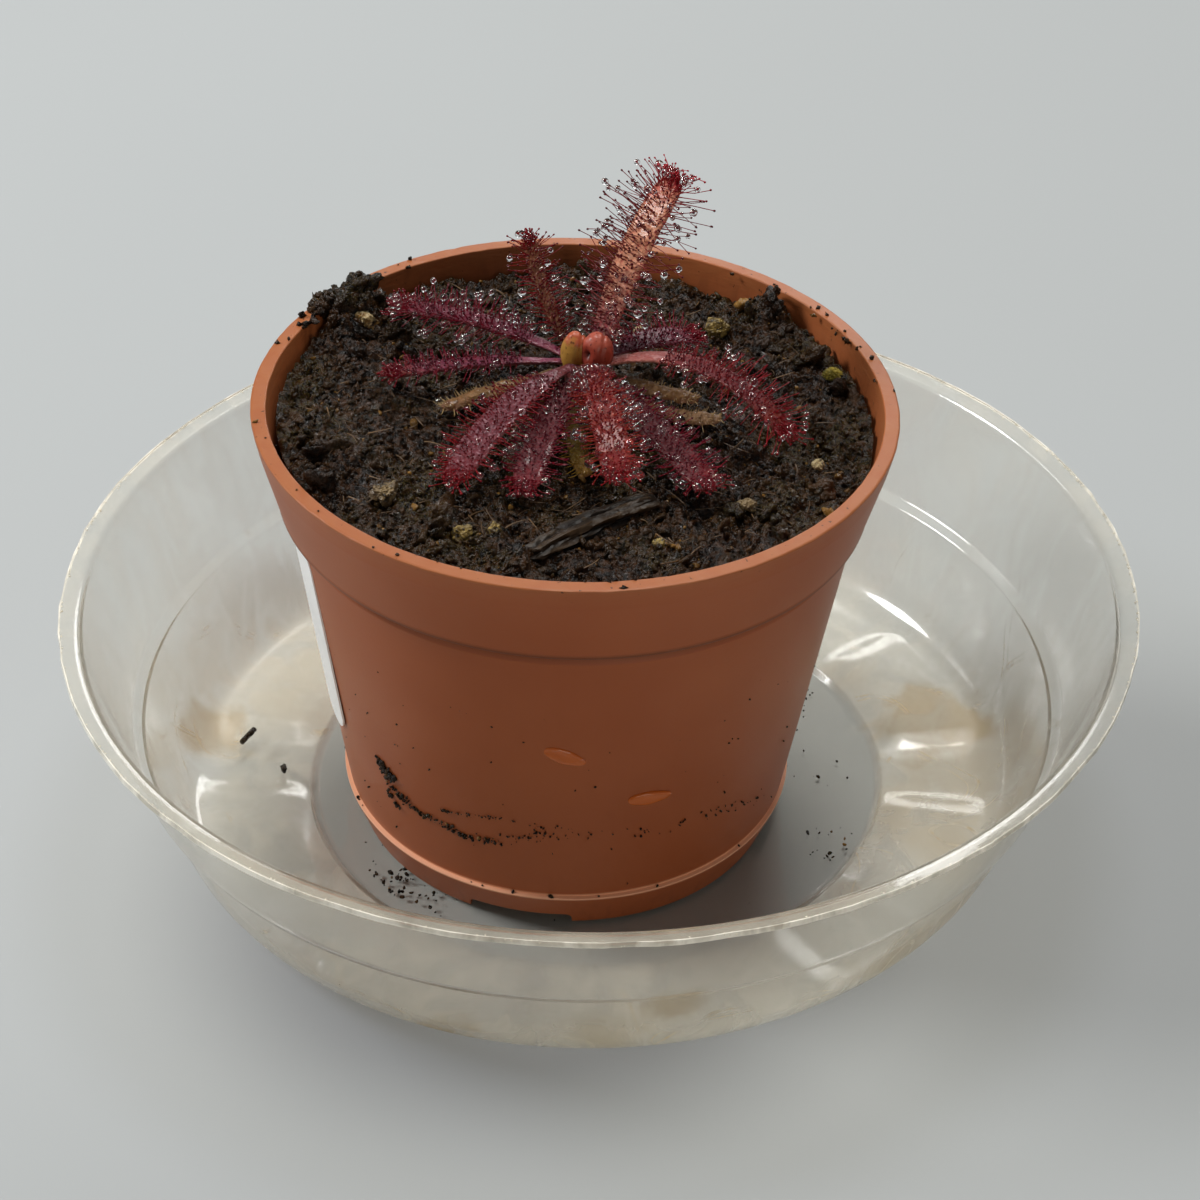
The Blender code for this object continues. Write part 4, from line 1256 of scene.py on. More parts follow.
@dataclass
class Pot:
    """The tapered nursery pot with its collar, ledge, step line and notched foot ring."""

    axis: Vector
    foot: float
    height: float = 69.5
    rim_radius: float = 45.0
    rim_width: float = 2.3
    collar_depth: float = 13.0
    collar_foot_radius: float = 41.8
    ledge_drop: float = 1.0
    wall_top_radius: float = 40.2
    wall_foot_radius: float = 33.2
    step_height: float = 6.4
    foot_radius: float = 31.2
    wall: float = 1.2
    underside: float = 2.9
    plate: float = 1.2
    notches: int = 4
    notch_width: float = 15.0
    notch_height: float = 2.0
    notch_heading: float = -100.5
    drain_radius: float = 3.5
    drain_ring: float = 20.0
    sides: int = 224
    loose_specks: int = 150
    step_specks: int = 26
    drops: tuple[tuple[float, float, float, float, float], ...] = (
        (-89.5, 36.1, 6.2, 2.8, 24.0),
        (-70.3, 26.4, 6.4, 2.6, 2.0),
    )
    tide_lines: tuple[tuple, ...] = (
        (((-136.0, 22.0), (-134.5, 19.5), (-128.5, 17.6), (-118.0, 17.0), (-114.0, 16.2), (-105.0, 17.1)),
         170, 0.45, 0.34),
        (((-105.0, 17.4), (-95.0, 20.0), (-81.0, 19.9), (-56.0, 19.4), (-32.0, 14.0)), 90, 0.8, 0.24),
        (((-137.0, 23.0), (-135.0, 22.3), (-133.0, 21.4)), 46, 0.4, 0.5),
        (((-136.0, 18.0), (-133.0, 15.5)), 16, 0.6, 0.36),
        (((-119.0, 20.0), (-104.0, 22.1), (-88.0, 21.2)), 70, 0.15, 0.2),
    )

    def build(self) -> None:
        """Models the pot in the place of its solid."""
        pot = turned("nursery_pot", self.profile(), self.sides)
        self.cut(pot)
        self.mark_zones(pot)
        reshape(pot, self.wear_rim)
        reshape(pot, self.stand)
        dress(pot, MouldedPolypropylene().material(), 32.0)
        level = pot.modifiers.new("level_faces", "WEIGHTED_NORMAL")
        level.keep_sharp = True
        apply_modifiers(pot)
        hand_over(pot, "terracotta_plastic", "pot")
        self.water()
        self.dirt()

    def mark_zones(self, pot: Object) -> None:
        """Keeps at each point whether it is on the rim, the inner wall, the step, which gets a painted
        highlight, or under the ledge, which gets painted shade.

        Args:
            pot: the pot.
        """
        points = points_of(pot)
        radius = from_axis(points)
        height = points[:, 2]
        inner = np.array([self.inner_radius(level) for level in height])
        rim = step_up(height, self.height - 0.55, 0.3)
        inside = step_up(radius, inner + 0.5, -0.3) * (1.0 - rim)
        # The step's edge holds a painted highlight, and the band under the ledge holds painted shade.
        step_highlight = (np.abs(height - self.step_height) < 0.16) & (radius > self.wall_foot_radius - 0.4)
        ledge = self.height - self.collar_depth
        groove = step_up(height, ledge + 0.2, -0.3) * step_up(height, ledge - 2.6, 1.6) * (1.0 - inside)
        hold(pot, rim=rim, inside=inside, line=step_highlight, groove=groove)

    def on_wall(self, heading: float, height: float, lift: float = 0.0) -> Vector:
        """A point on the outer wall, below the collar.

        Args:
            heading: direction from the pot's axis, in degrees.
            height: height above the foot.
            lift: how far the point stands off the wall.

        Returns:
            The point, in millimetres.
        """
        return self.at(self.wall_radius(height) + lift, heading, height)

    def water(self) -> None:
        """Two flat drops that cling to the wall, each a low dome drawn out to one side."""
        finish = WaterFilm().material()
        for number, (heading, height, length, breadth, slant) in enumerate(self.drops):
            drop = primitive(f"wall_drop_{number + 1}", bpy.ops.mesh.primitive_uv_sphere_add, segments=48,
                             ring_count=24, radius=1.0 * MM)
            turn = math.radians(slant)

            def rule(points: Array) -> Array:
                """Flattens the ball to a drop on the wall.

                Args:
                    points: points in millimetres, one a row.

                Returns:
                    The points in their new places.
                """
                drawn = 1.0 - 0.35 * np.clip(points[:, 0], 0.0, 1.0)
                across = points[:, 0] * length / 2.0
                up = points[:, 1] * breadth / 2.0 * drawn
                up = np.sign(up) * np.abs(up / (breadth / 2.0)) ** 0.8 * breadth / 2.0
                lifts = np.maximum(points[:, 2], -0.15) * 0.5
                out = np.empty_like(points)
                for index, (side, rise, lift) in enumerate(zip(across, up, lifts)):
                    run = side * math.cos(turn) + rise * math.sin(turn)
                    climb = rise * math.cos(turn) - side * math.sin(turn)
                    place = self.wall_radius(height + climb)
                    out[index] = self.on_wall(heading + math.degrees(run / place), height + climb, lift)
                return out

            reshape(drop, rule)
            dress(drop, finish)
            hand_over(drop, "clear_plastic")

    def dirt(self) -> None:
        """Black crumbs along the tide lines, on the step and in a thin scatter over the wall."""
        draw = default_rng(47)
        places: list[Vector] = []
        sizes: list[float] = []
        for line, count, scatter, size in self.tide_lines:
            headings, heights = zip(*line)
            along = np.linspace(0.0, 1.0, len(line))
            shares = draw.random(count) ** 1.5
            for share in shares:
                heading = float(np.interp(share, along, headings)) + draw.normal(0.0, 0.8)
                height = float(np.interp(share, along, heights)) + draw.normal(0.0, scatter)
                places.append(self.on_wall(heading, height, 0.03))
                sizes.append(size * draw.uniform(0.5, 1.5))
        for _ in range(self.loose_specks):
            places.append(self.on_wall(draw.uniform(-160.0, 160.0), draw.uniform(8.0, 44.0), 0.02))
            sizes.append(draw.uniform(0.10, 0.34))
        for _ in range(self.step_specks):
            heading = draw.uniform(-180.0, 180.0)
            places.append(self.at(self.wall_foot_radius, heading, self.step_height + 0.12))
            sizes.append(draw.uniform(0.2, 0.7))
        pattern = Soil.lump_pattern(1, 5.0)
        spans = np.array(sizes)[:, None] * draw.uniform(0.4, 1.7, (len(sizes), 3))
        finish = WetPeat("dried_peat_specks", black="0E0B09", brown="2A1E14", glint=0.3).material()
        crumbs = strewn(pattern, np.array([list(place) for place in places]), spans, draw)
        tones = pattern.spread(draw.random(len(sizes)) ** 4)
        piece = pattern.copies("dirt_on_pot", crumbs, finish, tone=tones)
        hand_over(piece, "wet_peat")

    def wall_radius(self, height: float) -> float:
        """Outer radius of the tapered wall below the collar.

        Args:
            height: height above the foot.

        Returns:
            The radius in millimetres.
        """
        top = self.height - self.collar_depth - self.ledge_drop
        share = (height - self.step_height) / (top - self.step_height)
        return self.wall_foot_radius + (self.wall_top_radius - self.wall_foot_radius) * share

    def inner_radius(self, height: float) -> float:
        """Inner radius at a height, up to the rim.

        Args:
            height: height above the foot.

        Returns:
            The radius in millimetres.
        """
        wall_top = self.height - self.collar_depth - self.ledge_drop
        collar_foot = self.height - self.collar_depth + 0.6
        heights = (0.0, wall_top, collar_foot, self.height)
        radii = (self.wall_radius(0.0) - self.wall, self.wall_top_radius - self.wall,
                 self.collar_foot_radius - self.wall, self.rim_radius - self.rim_width)
        return float(np.interp(height, heights, radii))

    def profile(self) -> Profile:
        """The whole section, from the floor's middle over the rim to the underside's middle."""
        ledge = self.height - self.collar_depth
        top = self.underside + self.plate
        rim, collar, wall = self.rim_radius, self.collar_foot_radius, self.wall_top_radius
        toe, step, foot = self.wall_foot_radius, self.step_height, self.foot_radius
        corners = (
            (0.4, top, 0.0),
            (self.inner_radius(top) - 0.2, top, 1.4),
            (self.inner_radius(ledge - 1.0), ledge - 1.0, 0.4),
            (self.inner_radius(ledge + 0.6), ledge + 0.6, 0.4),
            (rim - self.rim_width, self.height, 0.25),
            (rim - 0.1, self.height - 0.02, 0.35),
            (rim - 0.8, self.height - 3.4, 0.6),
            (collar, ledge + 0.4, 0.3),
            (collar - 0.10, ledge - 0.45, 0.25),
            (wall - 0.45, ledge - 0.20, 0.1),
            (wall - 0.40, ledge - 1.0, 0.2),
            (wall - 0.02, ledge - 2.6, 0.8),
            (toe - 0.22, step + 0.60, 0.0),
            (toe - 0.30, step + 0.10, 0.04),
            (toe + 0.30, step + 0.02, 0.12),
            (toe + 0.24, step - 0.40, 0.0),
            (foot + 0.3, 0.9, 0.5),
            (foot, 0.0, 0.25),
            (foot - 1.4, 0.0, 0.2),
            (foot - 1.0, self.underside, 0.3),
            (0.4, self.underside, 0.0),
        )
        return refined(rounded(corners, 4), 6.0)

    def cut(self, pot: Object) -> None:
        """Cuts the notches through the foot ring and the drain holes through the floor.

        Args:
            pot: the pot.
        """
        cutters = []
        for index in range(self.notches):
            heading = math.radians(self.notch_heading + index * 360.0 / self.notches)
            cutters.append(self.notch_cutter(heading))
            heading += math.pi / self.notches
            cutters.append(self.drain_cutter(heading))
        tool = joined("cutter", cutters)
        cut = pot.modifiers.new("cut", "BOOLEAN")
        cut.operation = "DIFFERENCE"
        cut.object = tool
        cut.solver = "EXACT"
        apply_modifiers(pot)
        bpy.data.objects.remove(tool, do_unlink=True)

    def notch_cutter(self, heading: float) -> Object:
        """A block with rounded upper corners, across the foot ring.

        Args:
            heading: its direction from the pot's axis, in radians.

        Returns:
            The block.
        """
        place = (self.foot_radius * math.cos(heading) * MM, self.foot_radius * math.sin(heading) * MM, 0.0)
        block = primitive("notch", bpy.ops.mesh.primitive_cube_add, size=1.0, location=place,
                          rotation=(0.0, 0.0, heading))
        block.scale = (6.0 * MM, self.notch_width * MM, self.notch_height * 2.0 * MM)
        pick_only(block)
        bpy.ops.object.transform_apply(location=False, rotation=False, scale=True)
        bevel = block.modifiers.new("corners", "BEVEL")
        bevel.width = 0.9 * MM
        bevel.segments = 4
        apply_modifiers(block)
        return block

    def drain_cutter(self, heading: float) -> Object:
        """A rod through the floor.

        Args:
            heading: its direction from the pot's axis, in radians.

        Returns:
            The rod.
        """
        place = (self.drain_ring * math.cos(heading) * MM, self.drain_ring * math.sin(heading) * MM,
                 self.underside * MM)
        return primitive("drain", bpy.ops.mesh.primitive_cylinder_add, vertices=32,
                         radius=self.drain_radius * MM, depth=8.0 * MM, location=place)

    def wear_rim(self, points: Array) -> Array:
        """Makes the rim's edges slightly uneven, as the mould and handling leave them.

        Args:
            points: points in millimetres, one a row.

        Returns:
            The points in their new places.
        """
        out = points.copy()
        radius = from_axis(points)
        rim = np.nonzero((points[:, 2] > self.height - 1.0) & (radius > 40.0))[0]
        rough = lumps(points[rim], 2.4, 8.0) * 0.10 + lumps(points[rim], 0.9, 9.0) * 0.07
        out[rim, 2] -= np.abs(rough) * 0.8
        out[rim, :2] *= (1.0 - np.clip(rough, 0.0, 0.2) / radius[rim])[:, None]
        return out

    def stand(self, points: Array) -> Array:
        """Sets the pot on its place in the dish."""
        return points + np.array([self.axis.x, self.axis.y, self.foot])

    def at(self, radius: float, heading: float, height: float) -> Vector:
        """A point by its place on the pot.

        Args:
            radius: distance from the pot's axis.
            heading: direction from the axis, in degrees.
            height: height above the foot.

        Returns:
            The point, in millimetres.
        """
        angle = math.radians(heading)
        return Vector((self.axis.x + radius * math.cos(angle), self.axis.y + radius * math.sin(angle),
                       self.foot + height))


@dataclass
class Label:
    """The bare sticker on the left of the wall."""

    pot: Pot
    heading: float = 185.5
    width: float = 29.0
    top: float = 54.5
    bottom: float = 21.5
    thickness: float = 0.28
    corner: float = 3.0
    off_wall: float = 0.06

    def build(self) -> None:
        """Models the sticker in the place of its solid."""
        sticker = primitive("sticker", bpy.ops.mesh.primitive_grid_add, x_subdivisions=40,
                            y_subdivisions=40, size=2.0 * MM)
        reshape(sticker, self.lay)
        angle = math.radians(self.heading)
        face_outwards(sticker, (math.cos(angle), math.sin(angle), 0.0))
        thicken(sticker, self.thickness, 1.0)
        dress(sticker, CoatedPaper().material(), 40.0)
        hand_over(sticker, "label_paper", "label")

    def lay(self, points: Array) -> Array:
        """Lays the square grid on the wall with round corners.

        Args:
            points: points in millimetres, one a row.

        Returns:
            The points in their new places.
        """
        half = np.array([self.width / 2.0, (self.top - self.bottom) / 2.0])
        flat = points[:, :2] * half
        inner = half - self.corner
        excess = np.maximum(np.abs(flat) - inner, 0.0)
        length = np.hypot(excess[:, 0], excess[:, 1])
        largest = np.maximum(excess.max(axis=1), 1e-9)
        round_share = np.where(length > 1e-9, largest / np.maximum(length, 1e-9), 1.0)
        flat = np.sign(flat) * (np.minimum(np.abs(flat), inner) + excess * round_share[:, None])
        middle = (self.top + self.bottom) / 2.0
        out = np.empty_like(points)
        for index, (across, up) in enumerate(flat):
            height = middle + up
            radius = self.pot.wall_radius(height) + self.off_wall
            heading = self.heading + math.degrees(across / self.pot.wall_radius(middle))
            out[index] = self.pot.at(radius, heading, height)
        return out


# Soil


@dataclass
class Soil:
    """The plug of wet peat: its lumpy surface, loose crumbs, clods, fibres and crumbs spilled on the rim;
    Grains builds the grit, moss and strip of bark in it.
    """

    pot: Pot
    level: float = 66.2
    fall_right: float = 1.0
    fall_back: float = 0.6
    under_leaves: float = 66.9
    under_leaves_reach: float = 27.0
    crown: tuple[float, float] = (0.8, 5.5)
    dip: float = 2.5
    lump: tuple[float, float] = (7.5, 1.3)
    crumb: tuple[float, float] = (3.4, 1.0)
    heaps: tuple[tuple[float, float, float, float], ...] = (
        (-32.6, 22.6, 5.6, 4.6),
        (27.4, 28.4, 4.6, 4.4),
        (1.0, 36.5, 2.6, 5.0),
    )
    piles: tuple[tuple[float, float, float, int], ...] = (
        (-33.5, 23.0, 3.8, 44),
        (27.4, 28.4, 5.6, 26),
        (1.0, 36.5, 3.6, 14),
        (35.5, 12.0, 4.0, 8),
        (-22.0, 30.0, 5.0, 8),
        (-33.0, -8.0, 8.0, 9),
        (-14.0, -27.0, 7.0, 7),
        (26.0, -22.0, 7.0, 7),
    )
    spills: tuple[tuple[float, float, int, float, float], ...] = (
        (147.0, 3.6, 80, 1.0, 1.3),
        (155.0, 4.0, 10, 0.6, 0.2),
        (134.0, 5.0, 6, 0.5, 0.1),
        (22.0, 10.0, 9, 0.4, 0.0),
        (40.0, 8.0, 8, 0.4, 0.0),
        (-95.0, 12.0, 9, 0.4, 0.0),
        (-140.0, 20.0, 9, 0.3, 0.0),
        (85.0, 20.0, 8, 0.4, 0.0),
    )
    hollow: tuple[float, float, float, float] = (34.0, -7.0, 2.4, 9.0)
    mound: tuple[float, float, float, float] = (-34.0, 23.6, 2.4, 6.0)
    cells: int = 204
    clump: float = 1.9
    plug_heights: tuple[float, ...] = (57.4, 55.2, 5.7, 4.4)

    def height(self, x: float, y: float) -> float:
        """Height of the lumpy surface above the pot's foot, as the solid has it.

        Args:
            x: place across, from the pot's axis.
            y: place towards the back.

        Returns:
            The height in millimetres.
        """
        place = Vector((x, y, 0.0))
        seed = Vector((3.1, 7.7, 0.4))
        rise = self.lump[1] * noise.noise(place / self.lump[0] + seed)
        rise += self.crumb[1] * noise.noise(place / self.crumb[0] + seed * 2.0)
        rise -= (self.fall_right * x + self.fall_back * y) / self.pot.rim_radius
        height = self.level + rise
        if math.hypot(x - self.crown[0], y - self.crown[1]) < self.under_leaves_reach:
            height = min(height, self.under_leaves)
        for heap_x, heap_y, heap_rise, heap_spread in self.heaps:
            height += heap_rise * math.exp(-((x - heap_x) ** 2 + (y - heap_y) ** 2) / heap_spread ** 2)
        return height

    def fine(self, x: float, y: float) -> float:
        """The surface with its clumps and the cracks between them.

        Args:
            x: place across, from the pot's axis.
            y: place towards the back.

        Returns:
            The height above the pot's foot, in millimetres.
        """
        place = Vector((x, y, 0.0))
        bend = Vector((noise.noise(place / 1.7), noise.noise(place / 1.7 + Vector((5.0, 5.0, 5.0))), 0.0))
        spans, feet = noise.voronoi((place + bend * 0.9) / self.clump, distance_metric="DISTANCE")
        crack = min((spans[1] - spans[0]) / 0.35, 1.0)
        step = noise.noise(feet[0] * 3.1)
        rough = noise.noise(place / 1.1 + Vector((9.0, 2.0, 5.0)))
        small = noise.noise(place / 0.6 + Vector((4.0, 4.0, 1.0)))
        return self.heaped(x, y) + 0.6 * (crack - 0.75) + 0.6 * step + 0.55 * rough + 0.35 * small

    def heaped(self, x: float, y: float) -> float:
        """The solid's height with the hollow by the right wall and the mound that leans on the rim.

        Args:
            x: place across, from the pot's axis.
            y: place towards the back.

        Returns:
            The height above the pot's foot, in millimetres.
        """
        height = self.height(x, y)
        for (spot_x, spot_y, rise, reach), way in ((self.hollow, -1.0), (self.mound, 1.0)):
            height += way * rise * math.exp(-((x - spot_x) ** 2 + (y - spot_y) ** 2) / reach ** 2)
        return height

    def build(self) -> None:
        """Builds the surface and all that lies on it."""
        self.surface()
        self.crumbs()
        self.clods()
        self.fibres()
        self.rim_crumbs()

    def surface(self) -> None:
        """A fine lumpy disc that is drawn down to the pot's floor."""
        soil = primitive("peat", bpy.ops.mesh.primitive_grid_add, x_subdivisions=self.cells,
                         y_subdivisions=self.cells, size=2.0 * MM)
        reshape(soil, self.lumpy_disc)
        with editing(soil):
            bpy.ops.mesh.select_all(action="DESELECT")
            bpy.ops.mesh.select_non_manifold()
            for height in self.plug_heights:
                bpy.ops.mesh.extrude_region_move()
                bpy.ops.object.mode_set(mode="OBJECT")
                self.draw_down(soil, height)
                bpy.ops.object.mode_set(mode="EDIT")
            bpy.ops.mesh.edge_face_add()
            bpy.ops.mesh.select_all(action="SELECT")
            bpy.ops.mesh.normals_make_consistent(inside=False)
        hold(soil, tone=lumps(points_of(soil), 2.2, 6.0) * 0.5 + 0.25)
        dress(soil, WetPeat("wet_peat").material(), 60.0)
        hand_over(soil, "wet_peat", "soil")

    def lumpy_disc(self, points: Array) -> Array:
        """Maps the square grid onto the disc inside the collar and raises its lumps.

        Args:
            points: points in millimetres, one a row.

        Returns:
            The points in their new places.
        """
        radius = self.pot.inner_radius(self.level - self.dip) - 0.3
        out = np.empty_like(points)
        for index, (across, up, _) in enumerate(points):
            reach = max(abs(across), abs(up)) / max(math.hypot(across, up), 1e-9)
            x, y = across * reach * radius, up * reach * radius
            out[index] = (x + self.pot.axis.x, y + self.pot.axis.y, self.fine(x, y) + self.pot.foot)
        return out

    def draw_down(self, soil: Object, height: float) -> None:
        """Sets the selected edge of the surface inside the wall.

        Args:
            soil: the soil.
            height: height of the edge above the pot's foot.
        """
        for vertex in soil.data.vertices:
            if vertex.select:
                x, y = vertex.co.x / MM - self.pot.axis.x, vertex.co.y / MM - self.pot.axis.y
                heading = math.degrees(math.atan2(y, x))
                vertex.co = self.pot.at(self.pot.inner_radius(height) - 0.6, heading, height) * MM

    def scatter(self, count: int, draw: Generator, reach: float = 40.2) -> Array:
        """Places on the surface, in the scene's millimetres.

        Args:
            count: how many.
            draw: the source of random numbers.
            reach: radius of the disc that they lie in.

        Returns:
            Points, one a row.
        """
        radius = reach * np.sqrt(draw.random(count))
        angle = draw.random(count) * math.tau
        xs, ys = radius * np.cos(angle), radius * np.sin(angle)
        zs = np.array([self.fine(x, y) for x, y in zip(xs, ys)])
        return np.stack([xs + self.pot.axis.x, ys + self.pot.axis.y, zs + self.pot.foot], axis=1)

    def crumbs(self) -> None:
        """Loose crumbs of peat, coarse ones with facets and fine ones between them."""
        draw = default_rng(11)
        finish = WetPeat("loose_peat_crumbs", black="0D0906", brown="3A2919").material()
        coarse = self.lump_pattern(2, 3.0, 0.8)
        fine = self.lump_pattern(1, 5.0, 0.7)
        for name, pattern, count, low, high in (
            ("peat_crumbs_coarse", coarse, 1200, 0.6, 2.0), ("peat_crumbs_fine", fine, 7900, 0.3, 0.98),
        ):
            centres = self.scatter(count, draw)
            centres[:, 2] += draw.uniform(-0.3, 0.25, count)
            size = low + (high - low) * draw.random(count) ** 2.2
            self.place_crumbs(name, pattern, centres, size, finish, draw)

    def clods(self) -> None:
        """Rough lumps of matted peat, piled on the heaps and sparse elsewhere."""
        draw = default_rng(17)
        finish = WetPeat("matted_peat_clods", black="0D0906", brown="33241A").material()
        pattern = self.lump_pattern(3, 2.0, 0.95)
        spots = [(x + draw.normal(0.0, reach), y + draw.normal(0.0, reach))
                 for x, y, reach, count in self.piles for _ in range(count)]
        spots = [(x, y) for x, y in spots if math.hypot(x, y) < 40.8]
        axis, foot = self.pot.axis, self.pot.foot
        centres = np.array([(x + axis.x, y + axis.y, self.heaped(x, y) + foot + draw.uniform(-0.4, 0.9))
                            for x, y in spots])
        size = draw.uniform(1.3, 3.4, len(spots))
        self.place_crumbs("peat_clods", pattern, centres, size, finish, draw)

    def rim_crumbs(self) -> None:
        """Crumbs that spilled onto the rim, most of them beside the heap at the left back."""
        draw = default_rng(29)
        finish = WetPeat("spilled_peat_crumbs", black="0D0906", brown="33241A").material()
        pattern = self.lump_pattern(2, 6.0, 0.8)
        centres, sizes = [], []
        for heading, reach, count, size, pile in self.spills:
            for _ in range(count):
                away = draw.normal(0.0, 1.0)
                rise = pile * draw.random() * math.exp(-away * away) + 0.1 * size
                centres.append(list(self.pot.at(draw.uniform(41.4, 44.6), heading + away * reach,
                                                self.pot.height + rise)))
                sizes.append(size * draw.uniform(0.4, 1.9))
        self.place_crumbs("peat_on_rim", pattern, np.array(centres), np.array(sizes), finish, draw)

    @staticmethod
    def place_crumbs(name: str, pattern: Pattern, centres: Array, size: Array,
                     finish: Material, draw: Generator) -> None:
        """Makes one piece of crumbs, each stretched its own way.

        Args:
            name: the piece's name.
            pattern: the crumb.
            centres: where each goes.
            size: its mean width in millimetres.
            finish: the material.
            draw: the source of random numbers.
        """
        count = len(centres)
        sizes = size[:, None] * np.array([1.25, 0.9, 0.7]) * draw.uniform(0.6, 1.25, (count, 3))
        tones = pattern.spread(draw.random(count) ** 2.5)
        piece = pattern.copies(name, strewn(pattern, centres, sizes, draw), finish, tone=tones)
        hand_over(piece, "wet_peat")

    @staticmethod
    def lump_pattern(subdivisions: int, seed: float, depth: float = 0.5) -> Pattern:
        """Makes the pattern of an uneven crumb.

        Args:
            subdivisions: how fine the ball is that it is made of.
            seed: another seed gives another crumb.
            depth: depth of its hollows, in shares of its width.

        Returns:
            The pattern, 1 mm across.
        """
        crumb = primitive("crumb", bpy.ops.mesh.primitive_ico_sphere_add, subdivisions=subdivisions,
                          radius=0.5 * MM)

        def rule(points: Array) -> Array:
            """Gives the ball its lumps and hollows."""
            relief = depth * lumps(points, 0.42, seed) + 0.5 * depth * lumps(points, 0.2, seed + 1.0)
            return points * (1.0 + relief)[:, None]

        reshape(crumb, rule)
        return Pattern.taken_from(crumb)

    def fibres(self) -> None:
        """Thin peat fibres and rootlets, lying across the crumbs."""
        draw = default_rng(23)
        pattern = strand_pattern(3, 6)
        count = 260
        roots = self.scatter(count, draw, 38.0)
        roots[:, 2] += 0.55
        heading = draw.random(count) * math.tau
        length = 1.2 + 4.2 * draw.random(count) ** 2.0
        way = np.stack([np.cos(heading), np.sin(heading), draw.normal(0.0, 0.12, count)], axis=1)
        ends = roots + way * length[:, None]
        inside = np.hypot(ends[:, 0] - self.pot.axis.x, ends[:, 1] - self.pot.axis.y) < 40.0
        roots, ends, length = roots[inside], ends[inside], length[inside]
        bend = draw.normal(0.0, 0.10, roots.shape) * length[:, None]
        bend[:, 2] = np.abs(bend[:, 2]) * 0.5
        girth = draw.uniform(0.05, 0.12, len(roots))
        places = swept(pattern, roots, (roots + ends) / 2.0 + bend, ends, girth, np.zeros(len(roots)))
        finish = PlainFinish("peat_fibre", "7A5A34", "2A1D12", 0.5, 3.0).material()
        piece = pattern.copies("peat_fibres", places, finish)
        hand_over(piece, "wet_peat")


def strand_pattern(sides: int, rings: int, gland: bool = False) -> Pattern:
    """A stalk of length 1 that tapers, ended by a gland or a point.

    Args:
        sides: number of sides.
        rings: rings along the stalk.
        gland: True for a swollen end, whose points lie past 1.

    Returns:
        The shape; its radii are in units of the girth, and its Z is the share of the length.
    """
    if gland:
        profile = [(1.4, 0.0), (0.9, 0.2), (0.7, 0.55), (0.68, 0.98), (1.7, 1.5), (2.0, 2.3), (0.8, 3.1)]
    else:
        profile = [(1.0 - 0.7 * (step / rings) ** 2, step / rings) for step in range(rings + 1)]
    return Pattern.taken_from(turned("strand", profile, sides))


def swept(pattern: Pattern, roots: Array, middles: Array, tips: Array, girths: Array,
          glands: Array) -> Array:
    """Bends copies of a strand along curves from root to tip.

    Args:
        pattern: the strand, from Z 0 to 1 along its stalk and past 1 in its gland.
        roots: where each starts.
        middles: the point that each bends towards.
        tips: where each ends.
        girths: radius of each stalk.
        glands: length of the gland for each unit of Z past 1.

    Returns:
        Copies by points by 3.
    """
    share = np.clip(pattern.points[:, 2], 0.0, 1.0)[None, :, None]
    past = np.maximum(pattern.points[:, 2] - 1.0, 0.0)[None, :, None]
    start, bend, end = roots[:, None, :], middles[:, None, :], tips[:, None, :]
    centre = (1 - share) ** 2 * start + 2 * share * (1 - share) * bend + share ** 2 * end
    along = 2 * (1 - share) * (bend - start) + 2 * share * (end - bend)
    along = unit(along)
    guide = np.cross(tips - roots, np.array([0.31, 0.17, 0.93]))
    first = unit(np.cross(np.broadcast_to(guide[:, None, :], along.shape), along))
    second = np.cross(along, first)
    girth = girths[:, None, None]
    ring = first * pattern.points[None, :, 0:1] * girth + second * pattern.points[None, :, 1:2] * girth
    return centre + ring + along * past * glands[:, None, None]


